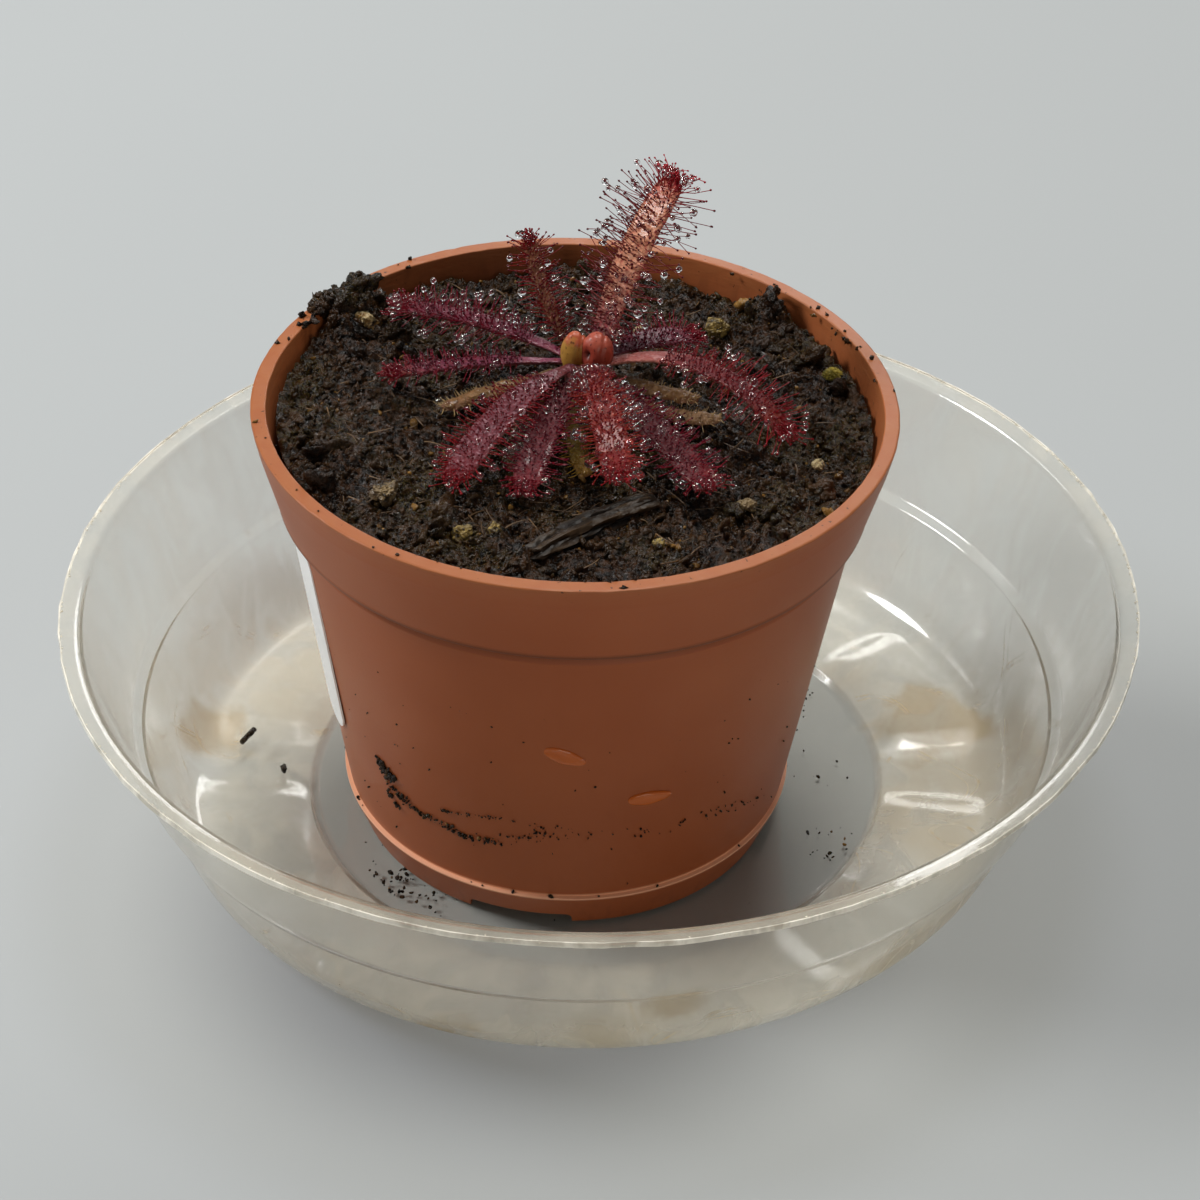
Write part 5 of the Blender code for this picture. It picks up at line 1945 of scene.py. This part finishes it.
@dataclass
class Grains:
    """The grains of grit, the moss tuft and the bark strip that lie in the soil."""

    pot: Pot
    soil: Soil
    bark_start: tuple[float, float] = (-5.2, -34.2)
    bark_end: tuple[float, float] = (10.8, -20.6)
    bark_radius: float = 1.45

    def build(self) -> None:
        """Builds each grain in the place of its solid."""
        pale = Mineral().material()
        olive = Mineral("A28A4A", "5E4A1C", "olive_grit").material()
        dull = Mineral("96805A", "4E3C24", "dull_grit").material()
        finishes = {
            "grit_left_back": pale, "grit_back": olive, "grit_back_small": pale, "grit_left_front": dull,
            "grit_front_left": olive, "grit_front_left_small": olive, "grit_front_right": dull,
            "grit_right_small": pale, "grit_front_small": olive,
        }
        for seed, (node, finish) in enumerate(finishes.items()):
            self.grain(node, finish, float(seed))
        self.moss()
        self.bark()

    @staticmethod
    def grain(node: str, finish: Material, seed: float) -> None:
        """A crumbly grain with facets and pits, as large as its solid.

        Args:
            node: the solid that it replaces.
            finish: its material.
            seed: another seed gives another grain.
        """
        centre, half = middle_and_half(node)
        draw = default_rng(int(seed) + 300)
        facets = 13
        planes = unit(draw.normal(size=(facets, 3)))
        depths = draw.uniform(0.62, 0.9, facets)
        stone = primitive(f"{node}_grain", bpy.ops.mesh.primitive_ico_sphere_add, subdivisions=5,
                          radius=1.0 * MM)

        def rule(points: Array) -> Array:
            """Cuts the ball's facets and pits, and fits it to its solid.

            Args:
                points: points in millimetres, one a row.

            Returns:
                The points in their new places.
            """
            facet = np.min(depths[None, :] / np.maximum(points @ planes.T, 0.2), axis=1)
            facet = np.minimum(facet, 1.0) + 0.22 * lumps(points, 0.7, seed + 20.0)
            pits = 0.22 * np.clip(lumps(points, 0.30, seed + 30.0), 0.0, 1.0)
            pits += 0.10 * lumps(points, 0.13, seed)
            shaped = points * (facet - pits)[:, None]
            shaped /= np.abs(shaped).max(axis=0)
            return shaped * half + centre

        reshape(stone, rule)
        thin = stone.modifiers.new("thin", "DECIMATE")
        thin.ratio = 0.3
        apply_modifiers(stone)
        dress(stone, finish, 22.0)
        hand_over(stone, "grit", node)

    def moss(self) -> None:
        """A tuft of tiny pointed moss leaves round a small core."""
        centre, half = middle_and_half("moss_tuft")
        draw = default_rng(5)
        core = primitive("moss_core", bpy.ops.mesh.primitive_ico_sphere_add, subdivisions=3,
                         radius=1.0 * MM)

        def rule(points: Array) -> Array:
            """Shrinks the ball to an uneven core inside the tuft."""
            return points * (0.62 + 0.2 * lumps(points, 0.5, 2.0))[:, None] * half + centre

        reshape(core, rule)
        count = 420
        way = unit(draw.normal(size=(count, 3)))
        way[:, 2] = np.abs(way[:, 2]) - 0.15
        roots = centre + way * half * 0.5
        tips = centre + way * half * draw.uniform(0.82, 0.99, (count, 1))
        pattern = strand_pattern(3, 3)
        bend = (roots + tips) / 2.0 + draw.normal(0.0, 0.12, (count, 3))
        finish = PlainFinish("cushion_moss", "B09A2E", "5E5A1A", 0.55, 0.8).material()
        leaves = pattern.copies("moss_leaves", swept(pattern, roots, bend, tips, np.full(count, 0.13),
                                                     np.zeros(count)), finish)
        core.data.materials.append(finish)
        piece = joined("moss_cushion", [core, leaves])
        hand_over(piece, "moss", "moss_tuft")

    def bark(self) -> None:
        """A split strip of bark: a rough rod with a long cleft, fibres and broken ends."""
        rings = 90
        profile = [(1.0, step / rings) for step in range(rings + 1)]
        strip = turned("split_bark", profile, 40)
        start, end = Vector(self.bark_start), Vector(self.bark_end)
        route = end - start
        side = Vector((-route.y, route.x)).normalized()
        depths = []

        def rule(points: Array) -> Array:
            """Lays the rod along its line, and notes each point's painted shade: dark in the cleft and
            underneath, light on top.

            Args:
                points: points in millimetres, one a row.

            Returns:
                The points in their new places.
            """
            out = np.empty_like(points)
            for index, (across, lift, share) in enumerate(points):
                along = start + route * share
                around = math.atan2(lift, across)
                girth = self.bark_radius * (0.62 + 0.5 * math.sin(math.pi * (0.15 + 0.7 * share)))
                fibre = noise.noise(Vector((math.cos(around) * 3.2, math.sin(around) * 3.2, share * 2.6)))
                fine = noise.noise(Vector((math.cos(around) * 9.0, math.sin(around) * 9.0, share * 14.0)))
                wander = 1.35 + 0.22 * noise.noise(Vector((share * 4.0, 3.0, 1.0)))
                cleft = math.exp(-((around - wander) / 0.16) ** 2)
                cleft += 0.6 * math.exp(-((around - wander + 0.95) / 0.1) ** 2)
                relief = 1.0 + 0.34 * fibre + 0.14 * fine - 0.5 * cleft
                ends = min(share, 1.0 - share) * rings
                girth *= relief * (1.0 if ends > 2.0 else 0.75 + 0.125 * ends)
                bow = side * 0.9 * math.sin(math.pi * share)
                ragged = noise.noise(Vector((math.cos(around) * 2.5, math.sin(around) * 2.5, 7.0 + share)))
                along += route.normalized() * 2.2 * ragged * abs(share - 0.5) * 2.0
                flat = along + bow + side * across * girth * 1.25
                middle = self.soil.level + (self.soil.height(*along) - self.soil.level) * 0.3 + 0.55
                out[index] = (flat.x + self.pot.axis.x, flat.y + self.pot.axis.y,
                              self.pot.foot + middle + lift * girth * 0.8)
                # Painted shade and light: the cleft and the underside get a low tone, the top a high one.
                depths.append(0.5 + 0.9 * fibre + 0.25 * lift - 0.8 * cleft)
            return out

        reshape(strip, rule)
        hold(strip, tone=np.clip(depths, 0.0, 1.0))
        dress(strip, WeatheredBark().material(), 45.0)
        hand_over(strip, "bark", "bark_strip")


# Rosette


@dataclass(frozen=True)
class LeafPlan:
    """One leaf: where its mid-rib runs, how its blade widens and how it is clad."""

    node: str
    heading: float
    sweep: float
    climb: float
    end_climb: float
    length: float
    width: float
    drop: float
    reach: float
    skin: LeafSkin
    tentacles: TentacleSkin
    trough: float = 0.35
    petiole: float = 0.45
    hairy_from: float = 0.3
    dew: float = 0.2
    dew_size: float = 0.5
    dense: float = 1.0
    dead: bool = False


class Rib:
    """The line of a leaf's mid-rib, traced in even steps, with its directions."""

    steps = 88

    def __init__(self, plan: LeafPlan, crown: Vector, crown_radius: float) -> None:
        """Traces the line.

        Args:
            plan: the leaf.
            crown: the middle of the crown's top.
            crown_radius: distance from the crown's axis at which the rib starts.
        """
        share = np.linspace(0.0, 1.0, self.steps + 1)
        heading = np.radians(plan.heading + plan.sweep * share)
        climb = np.radians(plan.climb + (plan.end_climb - plan.climb) * share)
        level = np.stack([np.cos(heading), np.sin(heading), np.zeros_like(heading)], axis=1)
        self.alongs = level * np.cos(climb)[:, None]
        self.alongs[:, 2] = np.sin(climb)
        self.sides = np.stack([-np.sin(heading), np.cos(heading), np.zeros_like(heading)], axis=1)
        start = np.array(crown) + level[0] * crown_radius - np.array([0.0, 0.0, plan.drop])
        walked = np.cumsum(self.alongs[:-1] * plan.length / self.steps, axis=0)
        self.points = start + np.vstack([np.zeros(3), walked])
        self.length = plan.length

    def at(self, shares: Array) -> tuple[Array, Array, Array, Array]:
        """Places and directions at shares of the length, which may lie a little before 0.

        Args:
            shares: the shares.

        Returns:
            Points, directions along, to the left, and upwards from the blade.
        """
        held = np.clip(shares, 0.0, 1.0) * self.steps
        steps = np.arange(self.steps + 1)
        read = [np.stack([np.interp(held, steps, table[:, axis]) for axis in range(3)], axis=1)
                for table in (self.points, self.alongs, self.sides)]
        points, alongs, sides = read
        points = points + alongs * (np.minimum(shares, 0.0) * self.length)[:, None]
        return points, alongs, sides, np.cross(alongs, sides)


class Row(Enum):
    """Rows of tentacles: place across, lean in degrees, share of the full reach and spacing in mm."""

    MARGIN = (0.97, 86.0, 1.0, 0.60)
    EDGE = (0.88, 64.0, 0.72, 0.64)
    SHOULDER = (0.68, 44.0, 0.42, 0.60)
    FLANK = (0.42, 26.0, 0.30, 0.58)
    MIDDLE = (0.14, 9.0, 0.25, 0.58)


class Leaf:
    """One leaf with its blade, its tentacles and the places of its dew."""

    blade_thickness = 1.1
    blade_rings = 56
    blade_sides = 20
    wide_from = 0.50
    tip_from = 0.82
    inner_end = -0.09

    def __init__(self, plan: LeafPlan, crown: Vector, ground: Rule, ceiling: float, seed: int) -> None:
        """Plans the leaf.

        Args:
            plan: its values.
            crown: the middle of the crown's top.
            ground: gives the soil's height under points.
            ceiling: the highest that a gland may stand.
            seed: for the draws.
        """
        self.plan = plan
        self.rib = Rib(plan, crown, 3.3)
        self.ground = ground
        self.ceiling = ceiling
        self.draw = default_rng(seed)
        self.dew: list[tuple[Array, float]] = []
        self.beads: list[tuple[Array, float]] = []

    def half_width(self, share: Array) -> Array:
        """Half the blade's width along it: a narrow petiole, a long blade and a round tip.

        Args:
            share: places along the blade, from 0 at its foot to 1.

        Returns:
            Half the width at each place, in millimetres.
        """
        rise = np.clip(share / self.wide_from, 0.0, 1.0)
        swell = self.plan.petiole + (1.0 - self.plan.petiole) * rise * rise * (3.0 - 2.0 * rise)
        past = np.clip((share - self.tip_from) / (1.01 - self.tip_from), 0.0, 1.0)
        return self.plan.width / 2.0 * swell * np.sqrt(np.clip(1.0 - past ** 2, 0.03, 1.0))

    def surface(self, share: Array, across: Array, lift: Array) -> Array:
        """Points on the blade.

        Args:
            share: place along, from 0 to 1.
            across: place across, from -1 to 1.
            lift: height over the middle surface, in half thicknesses.

        Returns:
            Points, one a row.
        """
        points, _, sides, normals = self.rib.at(share)
        half = self.half_width(share)
        curl = self.plan.trough * across ** 2 * half / (self.plan.width / 2.0)
        thick = self.blade_thickness / 2.0 * np.sqrt(np.clip(half / (self.plan.width / 2.0), 0.2, 1.0))
        return points + sides * (across * half)[:, None] + normals * (curl + lift * thick)[:, None]

    def build(self) -> None:
        """Builds the leaf in the place of its solid."""
        piece = joined(f"{self.plan.node}_grown", [self.blade(), self.clothing()])
        hand_over(piece, "leaf_withered" if self.plan.dead else "leaf_red", self.plan.node)

    def blade(self) -> Object:
        """The fleshy blade: a turned rod flattened along the mid-rib."""
        rings = self.blade_rings
        profile = [(0.3, 0.0)] + [(1.0, (step + 0.5) / rings) for step in range(rings)] + [(0.3, 1.0)]
        blade = turned(f"{self.plan.node}_blade", profile, self.blade_sides)
        raw = points_of(blade)
        share = 1.0 - (1.0 - raw[:, 2]) ** 1.15
        share = self.inner_end + (1.0 - self.inner_end) * share
        points = self.surface(share, raw[:, 0], raw[:, 1])
        wrinkle = lumps(points, 1.4, 2.0) * (0.34 if self.plan.dead else 0.10)
        wrinkle += lumps(points, 0.6, 7.0) * (0.16 if self.plan.dead else 0.08)
        _, _, _, normals = self.rib.at(share)
        reshape(blade, lambda _: points + normals * wrinkle[:, None])
        hold(blade, along=np.clip(share, 0.0, 1.0), tone=np.clip(raw[:, 1] * 0.6 + 0.6, 0.0, 1.0))
        dress(blade, self.plan.skin.material(self.plan.node))
        return blade

    def roots(self) -> tuple[Array, Array, Array, Array, Array]:
        """Where tentacles grow.

        Returns:
            Share along, place across, lean in degrees, length and forward lean of each.
        """
        plan, draw = self.plan, self.draw
        found = []
        for row in Row:
            place, lean, part, spacing = row.value
            spacing *= 1.5 if plan.dead else 1.0
            if row in (Row.SHOULDER, Row.FLANK, Row.MIDDLE):
                spacing /= plan.dense
                part *= plan.dense
            run = plan.length * (0.99 - plan.hairy_from)
            count = max(int(run / spacing), 2)
            for edge in (-1.0, 1.0):
                share = np.linspace(plan.hairy_from, 0.985, count)
                share = share + draw.normal(0.0, 0.3, count) / plan.length
                across = edge * (place + draw.normal(0.0, 0.06, count))
                angle = edge * (lean + draw.normal(0.0, 14.0, count))
                length = plan.reach * part * draw.uniform(0.62, 1.22, count)
                forward = draw.normal(0.12, 0.18, count) + np.clip(share - 0.8, 0.0, 1.0) * 3.0
                length = length * np.interp(share, (plan.hairy_from, plan.hairy_from + 0.25, 0.86, 1.0),
                                            (0.35, 1.0, 1.0, 0.72))
                found.append(np.stack([share, np.clip(across, -1.0, 1.0), angle, length, forward]))
        tuft = 5 if plan.dead else 44
        found.append(np.stack([
            draw.uniform(0.90, 0.995, tuft), draw.uniform(-0.9, 0.9, tuft), draw.uniform(-75.0, 75.0, tuft),
            plan.reach * draw.uniform(0.25, 0.6, tuft), draw.uniform(0.4, 2.2, tuft),
        ]))
        return tuple(np.concatenate(found, axis=1))

    def clothing(self) -> Object:
        """The tentacles, bent copies of one stalk with its gland."""
        plan, draw = self.plan, self.draw
        share, across, angle, length, forward = self.roots()
        lift = np.sqrt(np.clip(1.0 - across ** 2, 0.0, 1.0)) * 0.8
        roots = self.surface(share, across, lift)
        _, alongs, sides, normals = self.rib.at(share)
        angle = np.radians(angle)
        way = unit(sides * np.sin(angle)[:, None] + normals * np.cos(angle)[:, None]
                   + alongs * forward[:, None])
        tips = roots + way * length[:, None]
        bend = (roots + tips) / 2.0 + draw.normal(0.0, 0.07, roots.shape) * length[:, None]
        bend -= normals * (0.10 * length * np.abs(np.sin(angle)))[:, None]
        tips[:, 2] = np.clip(tips[:, 2], self.ground(tips) + 0.3, self.ceiling)
        girth = draw.uniform(0.065, 0.095, len(roots)) * (0.8 if plan.dead else 1.0)
        gland = np.full(len(roots), 0.0 if plan.dead else 0.14)
        pattern = strand_pattern(5, 4, gland=not plan.dead)
        places = swept(pattern, roots - way * 0.12, bend, tips, girth, gland)
        along = np.clip(pattern.points[:, 2] / 1.25, 0.0, 1.0)
        tones = pattern.spread(draw.random(len(roots)))
        self.hang_dew(tips, way, length)
        return pattern.copies(f"{plan.node}_tentacles", places, plan.tentacles.material(plan.node),
                              along=np.repeat(along[None, :], len(roots), axis=0), tone=tones,
                              place=pattern.spread(share))

    def hang_dew(self, tips: Array, way: Array, length: Array) -> None:
        """Chooses the glands that hold a drop, and its size.

        Args:
            tips: where the tentacles end.
            way: the direction of each.
            length: its length in millimetres.
        """
        plan, draw = self.plan, self.draw
        chance = plan.dew * np.clip(length / plan.reach, 0.25, 1.0)
        chosen = draw.random(len(tips)) < chance
        for tip, direction in zip(tips[chosen], way[chosen]):
            radius = plan.dew_size * (0.78 + 0.5 * draw.random() ** 1.3)
            self.dew.append((tip + direction * 0.1, radius))
        beaded = ~chosen & (draw.random(len(tips)) < (0.02 if plan.dead else 0.22))
        for tip in tips[beaded]:
            self.beads.append((tip, draw.uniform(0.15, 0.25)))


@dataclass
class Rosette:
    """The whole plant: stem, buds, leaves and dew."""

    crown: Vector
    ground: Rule
    ceiling: float
    bud_drop: float = 3.0
    pit_way: tuple[float, float, float] = (-0.62, -0.72, 0.16)

    def plans(self) -> tuple[LeafPlan, ...]:
        """The leaves, each with its run and its colours."""
        # Each skin gives base, middle, tip and fleck colours; the fleck colour is a painted glint.
        salmon = LeafSkin("7A3A4C", "E29A78", "B0262E", "F2BA9E")
        rusty = LeafSkin("5A3420", "7A4A34", "8A4A2C", "A0684C")
        magenta = LeafSkin("702C42", "64142C", "6E1824", "8E4058")
        pink = LeafSkin("74344A", "6A223A", "82322A", "9C4E6A")
        lilac = LeafSkin("5A2630", "6C303A", "70141E", "B88C94")
        wine = LeafSkin("5E282C", "5A2228", "801824", "92525A")
        scarlet = LeafSkin("70302A", "842622", "921C1E", "BC6450")
        dark = LeafSkin("502024", "501C22", "76161E", "88484C")
        arched = LeafSkin("A86058", "6C2028", "8E3020", "9A4A48", under="A87E66")
        brown = LeafSkin("5A4022", "84603A", "6A4026", "A88050")
        tan = LeafSkin("6E4E36", "94704E", "866444", "B89470")
        olive = LeafSkin("4E4016", "745C22", "8A6428", "9A8034")
        maroon = TentacleSkin("9A4440", "7C2228", "52101A", "AE1824")
        red = TentacleSkin("741A20", "921A22", "520C16", "8E101A")
        crimson = TentacleSkin("6A1628", "801426", "480A1A", "820E1A")
        coral = TentacleSkin("84241E", "A8362A", "641018", "980F1A")
        hair = TentacleSkin("8A6A48", "B09468", "94744C", "B09468")
        gold = TentacleSkin("7A5A1A", "A07C30", "8A5E22", "A07C30")
        return (
            LeafPlan("leaf_upright", 49, -2, 70, 40, 26.8, 5.1, 0.6, 5.2, salmon, maroon, petiole=0.72,
                     hairy_from=0.04, dew=0.34, dew_size=0.48, dense=1.25),
            LeafPlan("leaf_folded", 128, -20, 34, 46, 17.6, 2.4, 1.2, 2.7, rusty, red, trough=0.5,
                     hairy_from=0.08, dew=0.16),
            LeafPlan("leaf_left_back", 153, 1, 10, -13, 27.0, 3.4, 1.0, 3.9, magenta, crimson,
                     hairy_from=0.2, dew=0.32),
            LeafPlan("leaf_left", 183, -1, 2, -15, 24.2, 2.5, 1.3, 2.5, pink, crimson,
                     hairy_from=0.24, dew=0.05),
            LeafPlan("leaf_withered_left", 195, 14, -8, -9, 17.6, 2.5, 2.3, 1.7, brown, hair, trough=-0.4,
                     dew=0.04, dead=True),
            LeafPlan("leaf_front_left", 236, 3, 13, -30, 28.8, 4.8, 0.7, 2.5, lilac, red, petiole=0.38,
                     hairy_from=0.2, dew=0.16),
            LeafPlan("leaf_front_centre_left", 253, 5, 9, -24, 25.4, 4.3, 2.2, 2.1, wine, crimson,
                     petiole=0.4, hairy_from=0.1, dew=0.20),
            LeafPlan("leaf_withered_front", 262, 27, -8, -5, 18.6, 2.8, 3.5, 1.8, olive, gold, trough=-0.4,
                     dew=0.02, dead=True),
            LeafPlan("leaf_front_centre", 281, 1, 22, -34, 24.8, 4.6, 0.7, 2.2, scarlet, coral,
                     petiole=0.38, hairy_from=0.02, dew=0.30, dew_size=0.60, dense=1.35),
            LeafPlan("leaf_front_right", 305, 0, 1, -13, 27.8, 4.7, 2.1, 2.5, dark, crimson, hairy_from=0.1,
                     dew=0.30, dew_size=0.54),
            LeafPlan("leaf_withered_right_low", 331, 24, -17, 6, 17.6, 2.9, 3.7, 1.2, tan, hair,
                     trough=-0.4, dew=0.0, dead=True),
            LeafPlan("leaf_withered_right", 343, 8, -10, -6, 13.6, 2.6, 2.2, 1.2, brown, hair, trough=-0.4,
                     dew=0.0, dead=True),
            LeafPlan("leaf_right_arched", 349, -33, 25, -38, 30.0, 3.5, 1.0, 4.0, arched, red, petiole=0.6,
                     hairy_from=0.3, dew=0.18),
            LeafPlan("leaf_right_back", 33, -4, 9, -18, 15.0, 4.8, 1.3, 3.0, magenta, crimson,
                     hairy_from=0.2, dew=0.08),
        )

    def build(self) -> None:
        """Builds the crown, the buds, the leaves and the dew."""
        self.stem()
        self.buds()
        drops: list[tuple[Array, float]] = []
        beads: list[tuple[Array, float]] = []
        for number, plan in enumerate(self.plans()):
            leaf = Leaf(plan, self.crown, self.ground, self.ceiling, 100 + number)
            leaf.build()
            drops.extend(leaf.dew)
            beads.extend(leaf.beads)
        glue = Dewdrop().material()
        self.dew("dew_drops", drops, 10, 8, glue)
        self.dew("dew_beads", beads, 6, 4, glue)

    def stem(self) -> None:
        """The short stem, which swells where the leaf bases wrap it."""
        low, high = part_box("stem_crown")
        foot, top = low.z / MM, high.z / MM
        corners = (
            (0.2, top - 0.5, 0.0),
            (1.6, top - 0.9, 0.5),
            (2.5, top - 2.4, 0.8),
            (2.4, top - 4.4, 0.8),
            (1.7, top - 5.6, 0.6),
            (1.7, foot, 0.2),
            (0.2, foot, 0.0),
        )
        stem = turned("crown_and_stem", refined(rounded(corners, 5), 0.4), 48)

        def rule(points: Array) -> Array:
            """Folds the stem's skin and sets it under the crown."""
            fold = 1.0 + 0.10 * lumps(points, 1.1, 3.0)
            return points * upright(fold) + [self.crown.x, self.crown.y, 0.0]

        reshape(stem, rule)
        dress(stem, PlainFinish("young_stem", "8A3A40", "5A3020", 0.42, 1.5).material(), 50.0)
        hand_over(stem, "stem_tissue", "stem_crown")

    def buds(self) -> None:
        """The two coiled young leaves on the crown, their lower ends down among the leaf bases."""
        golden = BudSkin("golden_bud_skin", "A8792C", "B9893E", "B4583A", "4A2A14").material()
        red = BudSkin("red_bud_skin", "8A3326", "A2402E", "A8503E", "3A0E10").material()
        self.bud("bud_golden", golden, 0.0, (0.6, 0.0, -0.5), (1.4, 1.2, 1.08))
        self.bud("bud_red", red, 0.40, (0.1, -0.8, 0.4), (1.3, 1.2, 1.0))

    def bud(self, node: str, finish: Material, pit: float, shift: Sequence[float],
            swell: Sequence[float]) -> None:
        """A ball with a seam, where the young leaf is rolled up, and perhaps a pit.

        Args:
            node: the solid that it replaces.
            finish: its material.
            pit: how deep the pit is, in shares of the bud's half width.
            shift: how far its middle lies from its solid's, in millimetres.
            swell: how much larger than its solid it is along each axis.
        """
        centre, half = middle_and_half(node)
        sunk = np.array([0.0, 0.0, self.bud_drop / 2.0])
        centre = centre - sunk + shift
        half = (half + sunk) * swell
        bud = primitive(f"{node}_coil", bpy.ops.mesh.primitive_uv_sphere_add, segments=56, ring_count=40,
                        radius=1.0 * MM)
        pit_way = np.array(self.pit_way) / np.linalg.norm(self.pit_way)

        def rule(points: Array) -> Array:
            """Presses in the seam and the pit, and fits the ball to its place.

            Args:
                points: points in millimetres, one a row.

            Returns:
                The points in their new places.
            """
            near = np.linalg.norm(points - pit_way, axis=1)
            dimple = pit * np.exp(-(near / 0.24) ** 2)
            seam = 0.09 * np.exp(-((points[:, 0] - 0.25 - 0.2 * points[:, 2]) / 0.10) ** 2)
            relief = 1.0 - dimple - seam + 0.05 * lumps(points, 0.55, 4.0) + 0.015 * lumps(points, 0.2, 5.0)
            return points * relief[:, None] * 0.98 * half + centre

        raw = points_of(bud)
        # Painted shade: the points in the pit get a dark tone.
        dark = np.exp(-(np.linalg.norm(raw - pit_way, axis=1) / 0.26) ** 2) * pit * 2.6
        hold(bud, along=raw[:, 2] * 0.5 + 0.5, tone=np.clip(dark, 0.0, 1.0))
        reshape(bud, rule)
        dress(bud, finish)
        hand_over(bud, node, node)

    @staticmethod
    def dew(name: str, drops: list[tuple[Array, float]], segments: int, rings: int,
            finish: Material) -> None:
        """Clear drops, copies of one slightly long ball.

        Args:
            name: the piece's name.
            drops: centre and radius of each.
            segments: sides of a ball.
            rings: rings of a ball.
            finish: the material.
        """
        ball = primitive("drop", bpy.ops.mesh.primitive_uv_sphere_add, segments=segments, ring_count=rings,
                         radius=1.0 * MM)
        with editing(ball):
            bpy.ops.transform.resize(value=(1.0, 1.0, 1.1))
        pattern = Pattern.taken_from(ball)
        draw = default_rng(77)
        centres = np.array([centre for centre, _ in drops])
        radii = np.array([radius for _, radius in drops])
        places = strewn(pattern, centres, np.repeat(radii[:, None], 3, axis=1), draw)
        piece = pattern.copies(name, places, finish)
        hand_over(piece, "clear_plastic")


@dataclass
class Debris:
    """Bits of dirt that lie in the dish: a stick, a lump and loose crumbs on the disc and the pads."""

    pot: Pot
    disc_level: float = 0.8
    shelf_level: float = 3.0
    stick: tuple[float, float] = (-54.8, 1.4)
    lump: tuple[float, float] = (-47.7, -4.2)
    heaps: tuple[tuple[float, float, float, int, float], ...] = (
        (-29.5, -26.5, 2.2, 50, 0.45),
        (36.5, 6.0, 5.0, 12, 0.4),
        (35.0, -15.0, 2.6, 20, 0.4),
        (37.0, 22.0, 6.0, 12, 0.3),
        (-24.5, -31.0, 2.4, 18, 0.4),
        (0.0, 0.0, 30.0, 40, 0.22),
    )

    def build(self) -> None:
        """Builds the crumbs and the stick."""
        draw = default_rng(53)
        finish = WetPeat("crumbs_in_dish", black="0E0B09", brown="2C2016").material()
        pattern = Soil.lump_pattern(2, 8.0)
        centres, sizes = [], []
        for x, y, reach, count, size in self.heaps:
            for _ in range(count):
                place = np.array([draw.normal(x, reach), draw.normal(y, reach)])
                if math.hypot(*place) < 41.0:
                    centres.append([*place, self.disc_level + 0.12])
                    sizes.append(size * draw.uniform(0.4, 1.8))
        centres.append([*self.lump, self.shelf_level])
        sizes.append(1.9)
        Soil.place_crumbs("dirt_in_dish", pattern, np.array(centres), np.array(sizes), finish, draw)
        self.twig(finish)

    def twig(self, finish: Material) -> None:
        """A short black stick with knobbly bark.

        Args:
            finish: the material.
        """
        profile = [(0.2, 0.0)] + [(0.42, step / 12.0 * 3.4) for step in range(13)] + [(0.2, 3.5)]
        stick = turned("stick_in_dish", profile, 14)
        aim = Matrix.Rotation(math.radians(62.0), 3, "Z") @ Matrix.Rotation(math.radians(86.0), 3, "Y")

        def rule(points: Array) -> Array:
            """Gives the rod its knobs and lays it down."""
            knobs = 1.0 + 0.3 * lumps(points, 0.7, 2.0)
            return points * upright(knobs) @ np.array(aim).T + [*self.stick, self.shelf_level + 0.3]

        reshape(stick, rule)
        dress(stick, finish)
        hand_over(stick, "wet_peat")


def main() -> None:
    logging.basicConfig(level=logging.INFO, format="%(name)s %(message)s")
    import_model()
    solid_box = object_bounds()
    Studio().build()
    pot_middle, pot_half = middle_and_half("pot")
    pot = Pot(axis=Vector(pot_middle), foot=pot_middle[2] - pot_half[2])
    crown_middle, crown_half = middle_and_half("stem_crown")
    crown = Vector((crown_middle[0], crown_middle[1], crown_middle[2] + crown_half[2]))
    Saucer().build()
    pot.build()
    Label(pot).build()
    soil = Soil(pot)
    soil.build()
    Grains(pot, soil).build()

    def ground(points: Array) -> Array:
        """The soil's height under each point."""
        heights = [soil.height(x - pot.axis.x, y - pot.axis.y) for x, y in points[:, :2]]
        return np.array(heights) + pot.foot

    Rosette(crown, ground, solid_box[1].z / MM - GLUE_ALLOWANCE).build()
    Debris(pot).build()
    bpy.context.view_layer.update()


if __name__ == "__main__":
    main()
